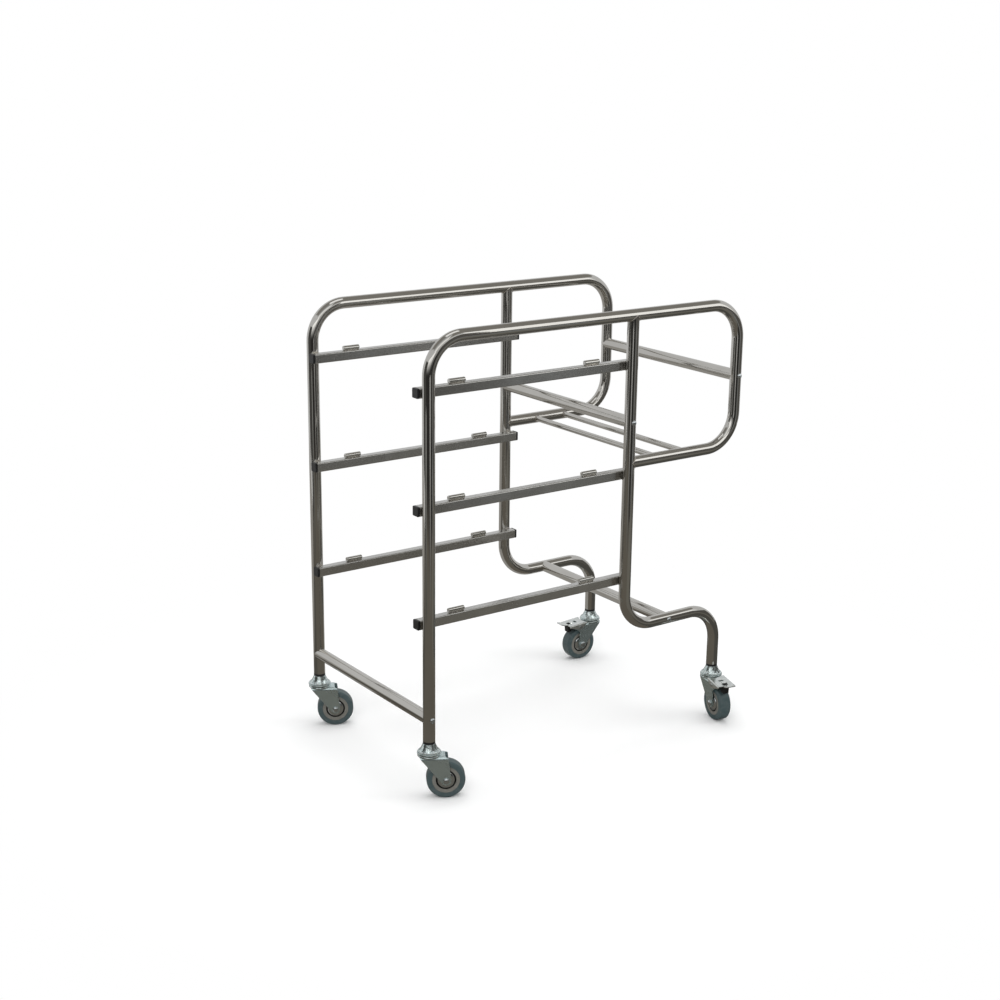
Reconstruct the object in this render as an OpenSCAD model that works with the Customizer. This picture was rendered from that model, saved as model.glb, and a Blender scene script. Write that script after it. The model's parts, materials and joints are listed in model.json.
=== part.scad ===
// Tray return trolley: two bent-tube side frames joined by bolted cross tubes,
// three pairs of tray runners, a rear loop with a push handle, and four swivel casters.
// Millimetres. Origin on the floor, midway between the casters' stems. +X to the push handle, +Z up.
// Left and right are as seen by the person who pushes: left is -Y.

/* [Frame tube] */
// Outside diameter of the frame tube
tube_od = 25.4; // [22:0.1:28]
// Wall of the frame tube
tube_wall = 1.2; // [1:0.1:2]
// Centre-line radius of every bend
bend_r = 76; // [60:1:85]
// Gap left for the weld wherever one tube is coped to another
weld_gap = 0.1; // [0.05:0.05:0.2]

/* [Side frames] */
// Distance between the side frames, axis to axis
frame_w = 448; // [380:1:560]
// Front leg to rear upright, axis to axis
bay_l = 505; // [470:1:600]
// Rear upright to the drop of the rear loop, axis to axis
loop_l = 296; // [260:1:360]
// Height of the top rail's axis
rail_z = 949; // [940:1:1040]
// Height of the axis of the loop's lower rail
return_z = 634; // [604:1:664]
// Height of the axis of the level run in the stepped rear leg
step_z = 261; // [249:1:294]
// Rear upright to rear caster leg, axis to axis
step_l = 267; // [240:1:320]

/* [Cross tubes] */
// Height of the front cross tube's axis
front_cross_z = 170; // [164:1:204]
// Height of the cross tube between the rear uprights
upper_cross_z = 722; // [694:1:764]
// Rear upright to the cross tube between the steps
step_cross_x = 120; // [100:1:150]
// Height of the push handle's axis
handle_z = 790; // [764:1:819]
// Outside diameter of the two shelf rods
rod_od = 12.7; // [10:0.1:16]
// Wall of the shelf rods
rod_wall = 1; // [0.8:0.1:1.5]
// Rear upright to the first shelf rod
rod_first_x = 83; // [60:1:100]
// Spacing of the shelf rods
rod_pitch = 82; // [60:1:100]

/* [Cross tube fixings] */
// Diameter of the bolts that hold the cross tubes
bolt_d = 6; // [5:0.5:8]
// Clearance of a bolt in its hole, on the diameter
bolt_clear = 0.4; // [0.2:0.1:0.8]
// Diameter of the button heads
bolt_head_d = 12; // [9:0.1:14]
// Height of the button heads
bolt_head_h = 3.8; // [2.5:0.1:5]
// Width of the hexagon socket in a button head, across corners
bolt_socket = 4.6; // [3:0.1:5]
// Depth of that socket
bolt_socket_depth = 1.9; // [1:0.1:2.2]
// How far a bolt's end stays inside its plug
bolt_inset = 2; // [1:0.5:5]
// Length of the threaded plug in each cross tube end
plug_l = 16; // [10:1:25]
// Clearance of a plug in its tube, on the diameter
plug_clear = 0.1; // [0.05:0.05:0.2]

/* [Tray runners] */
// Side of the square runner tube
runner_size = 20; // [18:1:25]
// Wall of the runner tube
runner_wall = 1.2; // [1:0.1:2]
// Outer corner radius of the runner tube
runner_corner = 2; // [1.5:0.1:3]
// Height of the top face of the lowest runner
runner_first_z = 379; // [364:1:394]
// Spacing of the runners
runner_pitch = 236; // [220:1:238]
// How far a runner's capped end stands in front of the leg's axis
runner_front_over = 17; // [15:1:40]
// How far a runner's capped end stands behind the upright's axis
runner_rear_over = 13; // [10:1:40]
// Length of an end cap outside the runner
cap_l = 5; // [3:0.5:8]
// Length of an end cap's plug inside the runner
cap_plug_l = 12; // [8:1:20]
// Clearance of the end cap's plug, each side
cap_clear = 0.1; // [0.05:0.05:0.3]
// Diameter of the tray stops
stop_d = 10; // [6:0.5:12]
// Length of the tray stops
stop_l = 38; // [25:1:50]
// Front leg's axis to the middle of the first stop
stop_first_x = 80; // [60:1:110]
// Spacing of the two stops on a runner
stop_pitch = 335; // [280:1:350]

/* [Caster wheels] */
// Diameter of the wheels
wheel_d = 80; // [76:1:84]
// Width of the tyre
wheel_w = 27; // [24:1:30]
// Radius of the tyre's rounded shoulders
tyre_shoulder = 4; // [3:0.5:7]
// Outside diameter of the wheel core, where the tyre begins
core_d = 57; // [54:1:61]
// Diameter of the round recess in the wheel core
core_recess_d = 42; // [40:1:47]
// Depth of that recess on each side
core_recess = 7; // [4:0.5:8]
// How far the core stays inside the tyre's side faces
core_inset = 0.5; // [0.3:0.1:1]
// Diameter of the boss round the bush
core_boss_d = 22; // [18:1:26]
// Outside diameter of the bush
bush_d = 12; // [11:0.5:14]
// Diameter of the axle bolt
axle_d = 8; // [6:0.5:9]
// Diameter of the axle bolt's head
axle_head_d = 13; // [11:0.5:15]
// Width of the axle's hexagon nut, across corners
axle_nut_d = 14.4; // [12:0.2:16]
// Height of the axle's head and of its nut
axle_head_h = 4.8; // [3:0.2:6]
// Diameter of the thread guards
guard_d = 36; // [30:1:39]
// Thickness of the thread guards
guard_t = 1.2; // [0.8:0.1:1.6]

/* [Caster forks] */
// Trail of the wheel behind the swivel axis
trail = 34; // [30:1:38]
// Thickness of the fork plate
fork_t = 2.5; // [2:0.1:3]
// Room between tyre and fork leg, each side
fork_side_gap = 3; // [2.6:0.1:4]
// Room between tyre and fork crown
crown_gap = 11; // [8:0.5:14]
// Diameter of the fork crown
crown_d = 47; // [44:1:50]
// Radius of the fork leg's end round the axle
leg_end_r = 10; // [9:0.5:12]
// Reach of the fork legs in front of the swivel axis
leg_front = 20; // [17:0.5:22]
// Reach of the fork legs' top behind the axle
leg_rear = 5; // [3:0.5:6]
// Reach of the bridge between the legs, behind the swivel axis
bridge_l = 27; // [24.5:0.5:30]
// How far the legs' tops fall from the bridge to their rear
leg_fall = 5; // [2:0.5:8]
// Running clearance between turning parts, on the radius
run_clear = 0.05; // [0.02:0.01:0.08]
// Clearance between parts that turn past each other
turn_gap = 0.3; // [0.25:0.05:0.5]

/* [Caster swivel heads] */
// Diameter of the swivel head
head_d = 50; // [47:1:54]
// Height from the head's rim to the top of its collar
head_h = 21; // [21:1:30]
// Height of the head's upright rim
head_rim_h = 4; // [2:0.1:5]
// Height from the head's rim to where its cone meets the collar
head_cone_h = 20; // [15:0.5:20.5]
// Depth of the head's skirt round the race
skirt_h = 2; // [1.5:0.1:2.2]
// Thickness of the head's skirt
skirt_t = 2.5; // [2:0.1:3]
// Diameter of the collar under the leg
collar_d = 25; // [18:0.5:25]
// Diameter of the stem in the leg
stem_d = 11; // [10:0.5:12]
// Length of the stem above the collar
stem_l = 30; // [25:1:34]
// Diameter of the kingpin that carries the fork
kingpin_d = 10; // [8:0.5:12]
// Diameter of the kingpin's rivet head
rivet_d = 16; // [14:0.5:20]
// Height of the kingpin's rivet head
rivet_h = 3; // [2:0.5:4]
// Diameter of the race balls
ball_d = 5; // [4.5:0.1:6]
// Number of race balls
ball_count = 10; // [8:1:12]
// Thickness of the plastic ring between leg and collar
socket_flange = 5; // [3:0.5:6]
// Length of the plastic socket inside the leg
socket_l = 32; // [26:1:34]

/* [Brakes] */
// Angle through which a brake pedal is pressed
brake_press = 12; // [8:1:14]
// Thickness of the pedal plate
pedal_t = 2; // [1.5:0.1:2.5]
// Room between the pedal plate and the fork crown's top
pedal_lift = 0.5; // [0.4:0.1:0.8]
// Room between the pedal plate and the swivel head
pedal_head_gap = 1.5; // [1:0.1:4]
// How far the pedal's folded sides reach in front of its plate
pedal_nose = 5; // [3:0.5:7]
// Depth of the folded sides at their front
pedal_front_h = 3; // [2.5:0.5:5]
// Radius of the folded sides round the pin
pedal_cheek_r = 6; // [5:0.5:8]
// Depth of the folded sides at their rear
pedal_rear_h = 5; // [4:0.5:10]
// Axle to the rear end of the pedal plate
pedal_back = 38; // [34:0.5:42]
// Length of a window in the pedal plate
window_l = 6; // [4:0.5:7]
// Width of the windows in the pedal plate
window_w = 12; // [8:0.5:20]
// Brake pin to the middle of the first window
window_first = 2; // [0:0.5:4]
// Spacing of the two windows
window_pitch = 20; // [14:0.5:22]
// Length of the foot tongue behind the plate
tongue_l = 23; // [20:1:40]
// Width of the foot tongue where it leaves the plate
tongue_root_w = 20; // [16:1:26]
// Width of the foot tongue at its tip
tongue_w = 31; // [26:1:36]
// Corner radius of the foot tongue's tip
tongue_corner = 7; // [3:0.5:8]
// How far the tongue's underside starts above the plate's
tongue_rise = 0.4; // [0.2:0.1:0.8]
// Slope of the foot tongue against the plate
tongue_slope = 18; // [10:1:24]
// Slope of the pedal plate, down to its rear
pedal_tilt = 5; // [1:1:8]
// Diameter of the brake's pivot pin
brake_pin_d = 5; // [4:0.5:6]
// Diameter of the pin's heads
brake_pin_head_d = 8; // [7:0.5:10]
// Height of the pin's heads
brake_pin_head_h = 1.5; // [1:0.1:2]
// Brake pin behind the axle
brake_pin_back = 9; // [7:0.5:11]
// Brake pin below the fork crown's top
brake_pin_drop = 6; // [5:0.5:7]
// How far the fork's ears run down the legs from the brake pin
ear_drop = 24; // [18:1:30]
// How far the ears reach behind the brake pin
ear_back = 15; // [13:0.5:16]
// Brake pin down to the top of the ears' rear end
ear_end_drop = 1.5; // [1.2:0.1:2.5]
// Depth of the ears at their rear end
ear_end_h = 3; // [2:0.5:4]
// Radius of the arch that the ears leave over the tyre
arch_r = 24; // [21:1:32]
// Axle to the front face of the brake shoe
shoe_back = 26; // [24:0.5:27]
// Length of the brake shoe
shoe_l = 11; // [8:0.5:12]
// Width of the brake shoe
shoe_w = 15; // [14:1:24]
// Depth of the brake shoe before it is hollowed to the tyre
shoe_h = 18; // [17:0.5:22]
// Gap left between shoe and tyre with the pedal down
shoe_gap = 0.5; // [0.3:0.1:1]

/* [Caster directions] */
// Direction in which the front left caster trails
front_left_swivel = -30; // [-180:1:180]
// Direction in which the front right caster trails
front_right_swivel = -29; // [-180:1:180]
// Direction in which the rear right caster trails
rear_right_swivel = 177; // [-180:1:180]
// Direction in which the rear left caster trails
rear_left_swivel = -103; // [-180:1:180]

/* [Hidden] */
$fn = 64;
cut = 1;
cope_l = 4 * tube_od;
corner_steps = 4;
touch_depth = 0.02;
tube_r = tube_od / 2;
tube_id = tube_od - 2 * tube_wall;
cope_r = tube_r + weld_gap;
wheelbase = bay_l + step_l;
front_x = -wheelbase / 2;
upright_x = front_x + bay_l;
loop_x = upright_x + loop_l;
rear_leg_x = upright_x + step_l;
half_w = frame_w / 2;

// Heights of a caster, from the floor up
wheel_r = wheel_d / 2;
crown_z = wheel_d + crown_gap;
crown_top = crown_z + fork_t;
ball_z = crown_top + weld_gap + ball_d / 2;
roof_z = ball_z + ball_d / 2 + turn_gap;
rim_z = roof_z - skirt_h;
collar_top = rim_z + head_h;
leg_end_z = collar_top + socket_flange;

// Widths of a caster
head_r = head_d / 2;
fork_gap = wheel_w + 2 * fork_side_gap;
fork_w = fork_gap + 2 * fork_t;
hub_w = fork_gap - 2 * (guard_t + 2 * turn_gap);
kingpin_r = kingpin_d / 2;
bush_r = bush_d / 2;

// Runner rows and levels
runner_y = half_w - tube_r - weld_gap - runner_size / 2;
runner_start = front_x - runner_front_over + cap_l;
runner_end = upright_x + runner_rear_over - cap_l;
runner_inner = runner_size - 2 * runner_wall;
level_names = ["lower", "middle", "upper"];
side_names = ["left", "right"];
function side_sign(side) = side == "left" ? -1 : 1;
function runner_top(level) = runner_first_z + level * runner_pitch;

// Corners, each with the place of its stem and the direction in which it trails
corners = ["front_left", "front_right", "rear_right", "rear_left"];
braked = ["rear_right", "rear_left"];
function corner_x(corner) = corner == "front_left" || corner == "front_right" ? front_x : rear_leg_x;
function corner_y(corner) = corner == "front_left" || corner == "rear_left" ? -half_w : half_w;
function corner_swivel(corner) =
    corner == "front_left" ? front_left_swivel
    : corner == "front_right" ? front_right_swivel
    : corner == "rear_right" ? rear_right_swivel
    : rear_left_swivel;
function is_braked(corner) = corner == "rear_right" || corner == "rear_left";

// Brake layout, in the fork's own frame
pedal_z = crown_top + pedal_lift;
pedal_gap = fork_w + 2 * turn_gap;
pedal_w = pedal_gap + 2 * pedal_t;
pedal_front_r = head_r + pedal_head_gap;
nose_x = pedal_front_r - pedal_nose;
pedal_end_x = trail + pedal_back;
brake_pin_x = trail + brake_pin_back;
brake_pin_z = crown_top - brake_pin_drop;
brake_pin_at = [brake_pin_x, brake_pin_z];
ear_r = brake_pin_drop - turn_gap;

corner_parts = ["head", "race_balls", "fork", "axle", "bush", "thread_guards", "wheel_core", "tyre"];
brake_parts = ["brake_pedal", "brake_pin", "brake_shoe"];

steel = "gainsboro";
zinc = "silver";
plastic = "dimgray";

// Tube along +Z
module pipe(od, wall, length) {
    difference() {
        cylinder(d = od, h = length);
        translate([0, 0, -cut]) cylinder(d = od - 2 * wall, h = length + 2 * cut);
    }
}

// Frame tube along +X
module level_pipe(length) {
    rotate([0, 90, 0]) pipe(tube_od, tube_wall, length);
}

// Quarter bend of the frame tube in the XZ plane, from the given angle
module quarter_bend(from) {
    rotate([90, 0, 0]) rotate([0, 0, from]) rotate_extrude(angle = 90) translate([bend_r, 0]) difference() {
        circle(d = tube_od);
        circle(d = tube_id);
    }
}

// Hole across a frame tube, along Y
module bolt_hole() {
    rotate([90, 0, 0]) cylinder(d = bolt_d + bolt_clear, h = tube_od + 2 * cut, center = true);
}

// Front leg, top rail, rear drop and lower rail of one side, bent from one tube
module side_tube(side) {
    color(steel) translate([0, side_sign(side) * half_w, 0]) {
        difference() {
            union() {
                translate([front_x, 0, leg_end_z]) pipe(tube_od, tube_wall, rail_z - bend_r - leg_end_z);
                translate([front_x + bend_r, 0, rail_z - bend_r]) quarter_bend(90);
                translate([front_x + bend_r, 0, rail_z]) level_pipe(bay_l + loop_l - 2 * bend_r);
                translate([loop_x - bend_r, 0, rail_z - bend_r]) quarter_bend(0);
                translate([loop_x, 0, return_z + bend_r])
                    pipe(tube_od, tube_wall, rail_z - return_z - 2 * bend_r);
                translate([loop_x - bend_r, 0, return_z + bend_r]) quarter_bend(-90);
                translate([upright_x, 0, return_z]) level_pipe(loop_l - bend_r);
            }
            translate([upright_x, 0, return_z]) cylinder(r = cope_r, h = cope_l, center = true);
            translate([front_x, 0, front_cross_z]) bolt_hole();
            translate([loop_x, 0, handle_z]) bolt_hole();
        }
    }
}

// Rear upright of one side, coped under the top rail and stepped back to the caster
module rear_upright(side) {
    low_bend_z = step_z - bend_r;
    color(steel) translate([upright_x, side_sign(side) * half_w, 0]) {
        difference() {
            union() {
                translate([0, 0, step_z + bend_r]) pipe(tube_od, tube_wall, rail_z - step_z - bend_r);
                translate([bend_r, 0, step_z + bend_r]) quarter_bend(180);
                translate([bend_r, 0, step_z]) level_pipe(step_l - 2 * bend_r);
                translate([step_l - bend_r, 0, low_bend_z]) quarter_bend(0);
                translate([step_l, 0, leg_end_z]) pipe(tube_od, tube_wall, low_bend_z - leg_end_z);
            }
            translate([0, 0, rail_z]) rotate([0, 90, 0]) cylinder(r = cope_r, h = cope_l, center = true);
            translate([0, 0, upper_cross_z]) bolt_hole();
            translate([step_cross_x, 0, step_z]) bolt_hole();
        }
    }
}

// Points of a square with rounded corners
function rounded_square(size, r) = [
    for (corner = [0:3]) for (step = [0:corner_steps])
        let (turn = 90 * (corner + step / corner_steps))
        let (middle = 90 * corner + 45)
        (size / 2 - r) * sqrt(2) * [cos(middle), sin(middle)] + r * [cos(turn), sin(turn)]
];

// Square bar or tube wall along +X
module square_bar(size, r, length) {
    rotate([90, 0, 90]) linear_extrude(length) polygon(rounded_square(size, r));
}

// Square-tube runner that a row of trays rests on
module runner(side, level) {
    color(steel) translate([runner_start, side_sign(side) * runner_y, runner_top(level) - runner_size / 2]) {
        difference() {
            square_bar(runner_size, runner_corner, runner_end - runner_start);
            translate([-cut, 0, 0])
                square_bar(runner_inner, runner_corner - runner_wall, runner_end - runner_start + 2 * cut);
        }
    }
}

// One plastic end cap, its plug pointing along +X into the runner
module runner_end_cap() {
    translate([-cap_l, 0, 0]) square_bar(runner_size, runner_corner, cap_l);
    square_bar(runner_inner - 2 * cap_clear, runner_corner - runner_wall, cap_plug_l);
}

module runner_end_caps() {
    color(plastic) for (side = side_names) for (level = [0:len(level_names) - 1]) {
        translate([0, side_sign(side) * runner_y, runner_top(level) - runner_size / 2]) {
            translate([runner_start, 0, 0]) runner_end_cap();
            translate([runner_end, 0, 0]) mirror([1, 0, 0]) runner_end_cap();
        }
    }
}

// Round bars welded on top of the runners to keep the trays in place
module tray_stops() {
    color(steel) for (side = side_names) for (level = [0:len(level_names) - 1]) for (place = [0:1]) {
        translate([
            front_x + stop_first_x + place * stop_pitch - stop_l / 2,
            side_sign(side) * runner_y,
            runner_top(level) + weld_gap + stop_d / 2
        ]) rotate([0, 90, 0]) cylinder(d = stop_d, h = stop_l);
    }
}

// Tube across the trolley at the given place
module across(x, z, od, wall) {
    translate([x, half_w, z]) rotate([90, 0, 0]) pipe(od, wall, frame_w);
}

// Room for the upright tubes that a cross tube's ends are coped to
module upright_room(x, z) {
    for (side = [-1, 1])
        translate([x, side * half_w, z]) cylinder(r = cope_r, h = cope_l, center = true);
}

// Room for the level tubes that a cross tube's ends are coped to
module level_room(x, z) {
    for (side = [-1, 1])
        translate([x, side * half_w, z]) rotate([0, 90, 0]) cylinder(r = cope_r, h = cope_l, center = true);
}

module front_cross_tube() {
    color(steel) difference() {
        across(front_x, front_cross_z, tube_od, tube_wall);
        upright_room(front_x, front_cross_z);
    }
}

module upper_cross_tube() {
    color(steel) difference() {
        across(upright_x, upper_cross_z, tube_od, tube_wall);
        upright_room(upright_x, upper_cross_z);
    }
}

module step_cross_tube() {
    color(steel) difference() {
        across(upright_x + step_cross_x, step_z, tube_od, tube_wall);
        level_room(upright_x + step_cross_x, step_z);
    }
}

module push_handle() {
    color(steel) difference() {
        across(loop_x, handle_z, tube_od, tube_wall);
        upright_room(loop_x, handle_z);
    }
}

// Thin rod between the loops' lower rails
module shelf_rod(place) {
    rod_x = upright_x + rod_first_x + place * rod_pitch;
    color(steel) difference() {
        across(rod_x, return_z, rod_od, rod_wall);
        level_room(rod_x, return_z);
    }
}

// Places of the bolted joints, +Z pointing inwards from the frame tube's axis
module at_cross_joints() {
    for (side = [-1, 1]) for (place = [
        [front_x, front_cross_z],
        [upright_x, upper_cross_z],
        [upright_x + step_cross_x, step_z],
        [loop_x, handle_z]
    ]) translate([place[0], side * half_w, place[1]]) rotate([side * 90, 0, 0]) children();
}

// Button-head bolt from outside a frame tube into the plug, its head at -Z
module cross_tube_bolt() {
    head_z = -tube_r - weld_gap;
    bolt_end = cope_r + weld_gap + plug_l - bolt_inset;
    difference() {
        union() {
            translate([0, 0, head_z]) rotate_extrude() polygon(concat(
                [[0, 0]],
                [for (turn = [0:15:75]) [bolt_head_d / 2 * cos(turn), -bolt_head_h * sin(turn)]],
                [[0, -bolt_head_h * sin(75)]]
            ));
            translate([0, 0, head_z]) cylinder(d = bolt_d, h = bolt_end - head_z);
        }
        translate([0, 0, head_z - bolt_head_h]) cylinder(d = bolt_socket, h = bolt_socket_depth, $fn = 6);
    }
}

module cross_tube_bolts() {
    color(zinc) at_cross_joints() cross_tube_bolt();
}

// Threaded plugs in the ends of the cross tubes
module cross_tube_plugs() {
    color(zinc) at_cross_joints() translate([0, 0, cope_r + weld_gap]) difference() {
        cylinder(d = tube_id - plug_clear, h = plug_l);
        translate([0, 0, -cut]) cylinder(d = bolt_d + plug_clear, h = plug_l + 2 * cut);
    }
}

// Puts a caster piece at its corner, turned to the direction in which it trails
module at_corner(corner) {
    translate([corner_x(corner), corner_y(corner), 0]) rotate([0, 0, corner_swivel(corner)]) children();
}

// Plastic sockets that hold the caster stems in the leg ends
module caster_sockets() {
    color(plastic) for (corner = corners) at_corner(corner) difference() {
        union() {
            translate([0, 0, collar_top]) cylinder(d = tube_od, h = socket_flange);
            translate([0, 0, collar_top]) cylinder(d = tube_id - plug_clear, h = socket_flange + socket_l);
        }
        translate([0, 0, collar_top - cut])
            cylinder(d = stem_d + plug_clear, h = socket_flange + socket_l + 2 * cut);
    }
}

// Stem, bell-shaped head and kingpin, one turned and riveted piece
module caster_head(corner) {
    rivet_top = crown_z - turn_gap;
    collar_r = collar_d / 2;
    color(zinc) at_corner(corner) rotate_extrude() polygon([
        [0, rivet_top - rivet_h],
        [rivet_d / 2, rivet_top - rivet_h],
        [rivet_d / 2, rivet_top],
        [kingpin_r, rivet_top],
        [kingpin_r, roof_z],
        [head_r - skirt_t, roof_z],
        [head_r - skirt_t, rim_z],
        [head_r, rim_z],
        [head_r, rim_z + head_rim_h],
        [collar_r, rim_z + head_cone_h],
        [collar_r, collar_top],
        [stem_d / 2, collar_top],
        [stem_d / 2, collar_top + stem_l],
        [0, collar_top + stem_l]
    ]);
}

// Balls of the swivel race
module race_balls(corner) {
    ring_r = (kingpin_r + head_r - skirt_t) / 2;
    color(zinc) at_corner(corner) for (ball = [0:ball_count - 1])
        rotate([0, 0, ball * 360 / ball_count]) translate([ring_r, 0, ball_z]) sphere(d = ball_d);
}

// Point just inside a circle round c, where a line from p runs into it on the side given by 1 or -1
function touch_point(p, c, r, side) =
    let (reach = p - c)
    let (turn = atan2(reach[1], reach[0]) + side * acos(r / norm(reach)))
    c + (r - touch_depth) * [cos(turn), sin(turn)];

// Outline of a fork leg, X along the trail and Y up
module fork_leg_outline() {
    hub = [trail, wheel_r];
    front = [-leg_front, crown_z];
    top_rear = [trail + leg_rear, crown_top - leg_fall];
    polygon([
        [fork_t - leg_front, crown_top],
        front,
        touch_point(front, hub, leg_end_r, 1),
        hub,
        touch_point(top_rear, hub, leg_end_r, -1),
        top_rear,
        [bridge_l, crown_top]
    ]);
    translate(hub) circle(r = leg_end_r);
}

// Centre of a circle through p and q that lies to the right of the way from p to q
function right_centre(p, q, r) =
    let (half = (q - p) / 2)
    let (rise = sqrt(r * r - half * half))
    p + half + rise * [half[1], -half[0]] / norm(half);

// Outline of the ear that carries the brake pin and runs back over the tyre
module fork_ear_outline() {
    top = [bridge_l, crown_top];
    root = [trail + leg_rear, brake_pin_z - ear_drop];
    end_top = brake_pin_at + [ear_back, -ear_end_drop];
    end_low = end_top - [0, ear_end_h];
    polygon([top, touch_point(top, brake_pin_at, ear_r, -1), brake_pin_at, root]);
    translate(brake_pin_at) circle(r = ear_r);
    difference() {
        polygon([brake_pin_at, end_top, end_low, root]);
        translate(right_centre(root, end_low, arch_r)) circle(r = arch_r);
    }
}

// Pressed steel fork: a round crown, a bridge over the wheel and two legs
module caster_fork(corner) {
    brake = is_braked(corner);
    color(zinc) at_corner(corner) difference() {
        union() {
            translate([0, 0, crown_z]) cylinder(d = crown_d, h = fork_t);
            translate([0, -fork_w / 2, crown_z]) cube([bridge_l, fork_w, fork_t]);
            for (side = [0, 1]) translate([0, -fork_gap / 2 + side * (fork_gap + fork_t), 0])
                rotate([90, 0, 0]) linear_extrude(fork_t) {
                    fork_leg_outline();
                    if (brake) fork_ear_outline();
                }
        }
        translate([0, 0, crown_z - cut]) cylinder(r = kingpin_r + run_clear, h = fork_t + 2 * cut);
        translate([trail, 0, wheel_r]) rotate([90, 0, 0])
            cylinder(d = axle_d + plug_clear, h = fork_w + 2 * cut, center = true);
        if (brake) translate([brake_pin_x, 0, brake_pin_z]) rotate([90, 0, 0])
            cylinder(d = brake_pin_d + plug_clear, h = fork_w + 2 * cut, center = true);
    }
}

// Puts a piece on a caster's axle, its axis along +Z
module at_axle(corner) {
    at_corner(corner) translate([trail, 0, wheel_r]) rotate([90, 0, 0]) children();
}

// Axle bolt with its head on one side and its nut on the other
module caster_axle(corner) {
    color(zinc) at_axle(corner) {
        translate([0, 0, -fork_w / 2 - axle_head_h]) cylinder(d = axle_d, h = fork_w + axle_head_h + cut);
        translate([0, 0, fork_w / 2]) cylinder(d = axle_head_d, h = axle_head_h);
        translate([0, 0, -fork_w / 2 - axle_head_h]) difference() {
            cylinder(d = axle_nut_d, h = axle_head_h, $fn = 6);
            translate([0, 0, -cut]) cylinder(d = axle_d + plug_clear, h = axle_head_h + 2 * cut);
        }
    }
}

// Steel sleeve that the wheel turns on, clamped between the fork legs
module caster_bush(corner) {
    color(zinc) at_axle(corner) difference() {
        cylinder(d = bush_d, h = fork_gap, center = true);
        cylinder(d = axle_d + plug_clear, h = fork_gap + 2 * cut, center = true);
    }
}

// Dished discs that keep threads out of the hub
module thread_guards(corner) {
    color(zinc) at_axle(corner) for (side = [0, 1]) mirror([0, 0, side])
        translate([0, 0, fork_gap / 2 - turn_gap - guard_t]) difference() {
            cylinder(d = guard_d, h = guard_t);
            translate([0, 0, -cut]) cylinder(d = bush_d + plug_clear, h = guard_t + 2 * cut);
        }
}

// Plastic wheel core, with a recess on each side round its boss
module wheel_core(corner) {
    rim_w = wheel_w - 2 * core_inset;
    web_w = wheel_w - 2 * core_recess;
    color("tan") at_axle(corner) difference() {
        union() {
            cylinder(d = core_boss_d, h = hub_w, center = true);
            cylinder(d = core_recess_d + 2 * cut, h = web_w, center = true);
            difference() {
                cylinder(d = core_d, h = rim_w, center = true);
                cylinder(d = core_recess_d, h = rim_w + 2 * cut, center = true);
            }
        }
        cylinder(r = bush_r + run_clear, h = hub_w + 2 * cut, center = true);
    }
}

// Grey rubber tyre with rounded shoulders
module tyre(corner) {
    inner = core_d / 2 + run_clear;
    side = wheel_w / 2;
    shoulder = [wheel_r - tyre_shoulder, side - tyre_shoulder];
    color("slategray") at_axle(corner) rotate_extrude() polygon(concat(
        [[inner, -side]],
        [for (turn = [-90:15:0]) [shoulder[0], -shoulder[1]] + tyre_shoulder * [cos(turn), sin(turn)]],
        [for (turn = [0:15:90]) shoulder + tyre_shoulder * [cos(turn), sin(turn)]],
        [[inner, side]]
    ));
}

// Turns brake pieces about the pin to the pedal plate's slope
module tilted() {
    translate([brake_pin_x, 0, brake_pin_z]) rotate([0, pedal_tilt, 0])
        translate([-brake_pin_x, 0, -brake_pin_z]) children();
}

// Outline of the pedal's folded side, X along the trail and Y up
module pedal_side_outline() {
    side_top = pedal_z + pedal_t;
    front = [nose_x, side_top - pedal_front_h];
    rear = [pedal_end_x, side_top - pedal_rear_h];
    polygon([
        [nose_x, side_top],
        front,
        touch_point(front, brake_pin_at, pedal_cheek_r, 1),
        brake_pin_at,
        touch_point(rear, brake_pin_at, pedal_cheek_r, -1),
        rear,
        [pedal_end_x, side_top]
    ]);
    translate(brake_pin_at) circle(r = pedal_cheek_r);
}

// Outline of one half of the foot tongue
module tongue_half_outline() {
    root = [0, tongue_root_w / 2];
    corner = [tongue_l - tongue_corner, tongue_w / 2 - tongue_corner];
    polygon([
        [0, 0],
        root,
        touch_point(root, corner, tongue_corner, -1),
        corner,
        corner + [tongue_corner, 0],
        [tongue_l, 0]
    ]);
    translate(corner) circle(r = tongue_corner);
}

// Foot pedal: a plate with folded sides, two windows and a sloping tongue
module brake_pedal(corner) {
    color(zinc) at_corner(corner) difference() {
        tilted() difference() {
            union() {
                translate([nose_x, -pedal_w / 2, pedal_z]) cube([pedal_end_x - nose_x, pedal_w, pedal_t]);
                for (side = [0, 1]) translate([0, -pedal_gap / 2 + side * (pedal_gap + pedal_t), 0])
                    rotate([90, 0, 0]) linear_extrude(pedal_t) pedal_side_outline();
                translate([pedal_end_x - pedal_t, 0, pedal_z + tongue_rise]) rotate([0, -tongue_slope, 0])
                    linear_extrude(pedal_t) for (side = [0, 1]) mirror([0, side]) tongue_half_outline();
            }
            for (place = [0, 1])
                translate([brake_pin_x + window_first + place * window_pitch, 0, pedal_z + pedal_t / 2])
                    cube([window_l, window_w, pedal_t + 2 * cut], center = true);
            translate([brake_pin_x, 0, brake_pin_z]) rotate([90, 0, 0])
                cylinder(r = brake_pin_d / 2 + run_clear, h = pedal_w + 2 * cut, center = true);
        }
        translate([0, 0, crown_z]) cylinder(r = pedal_front_r, h = head_h);
    }
}

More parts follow.
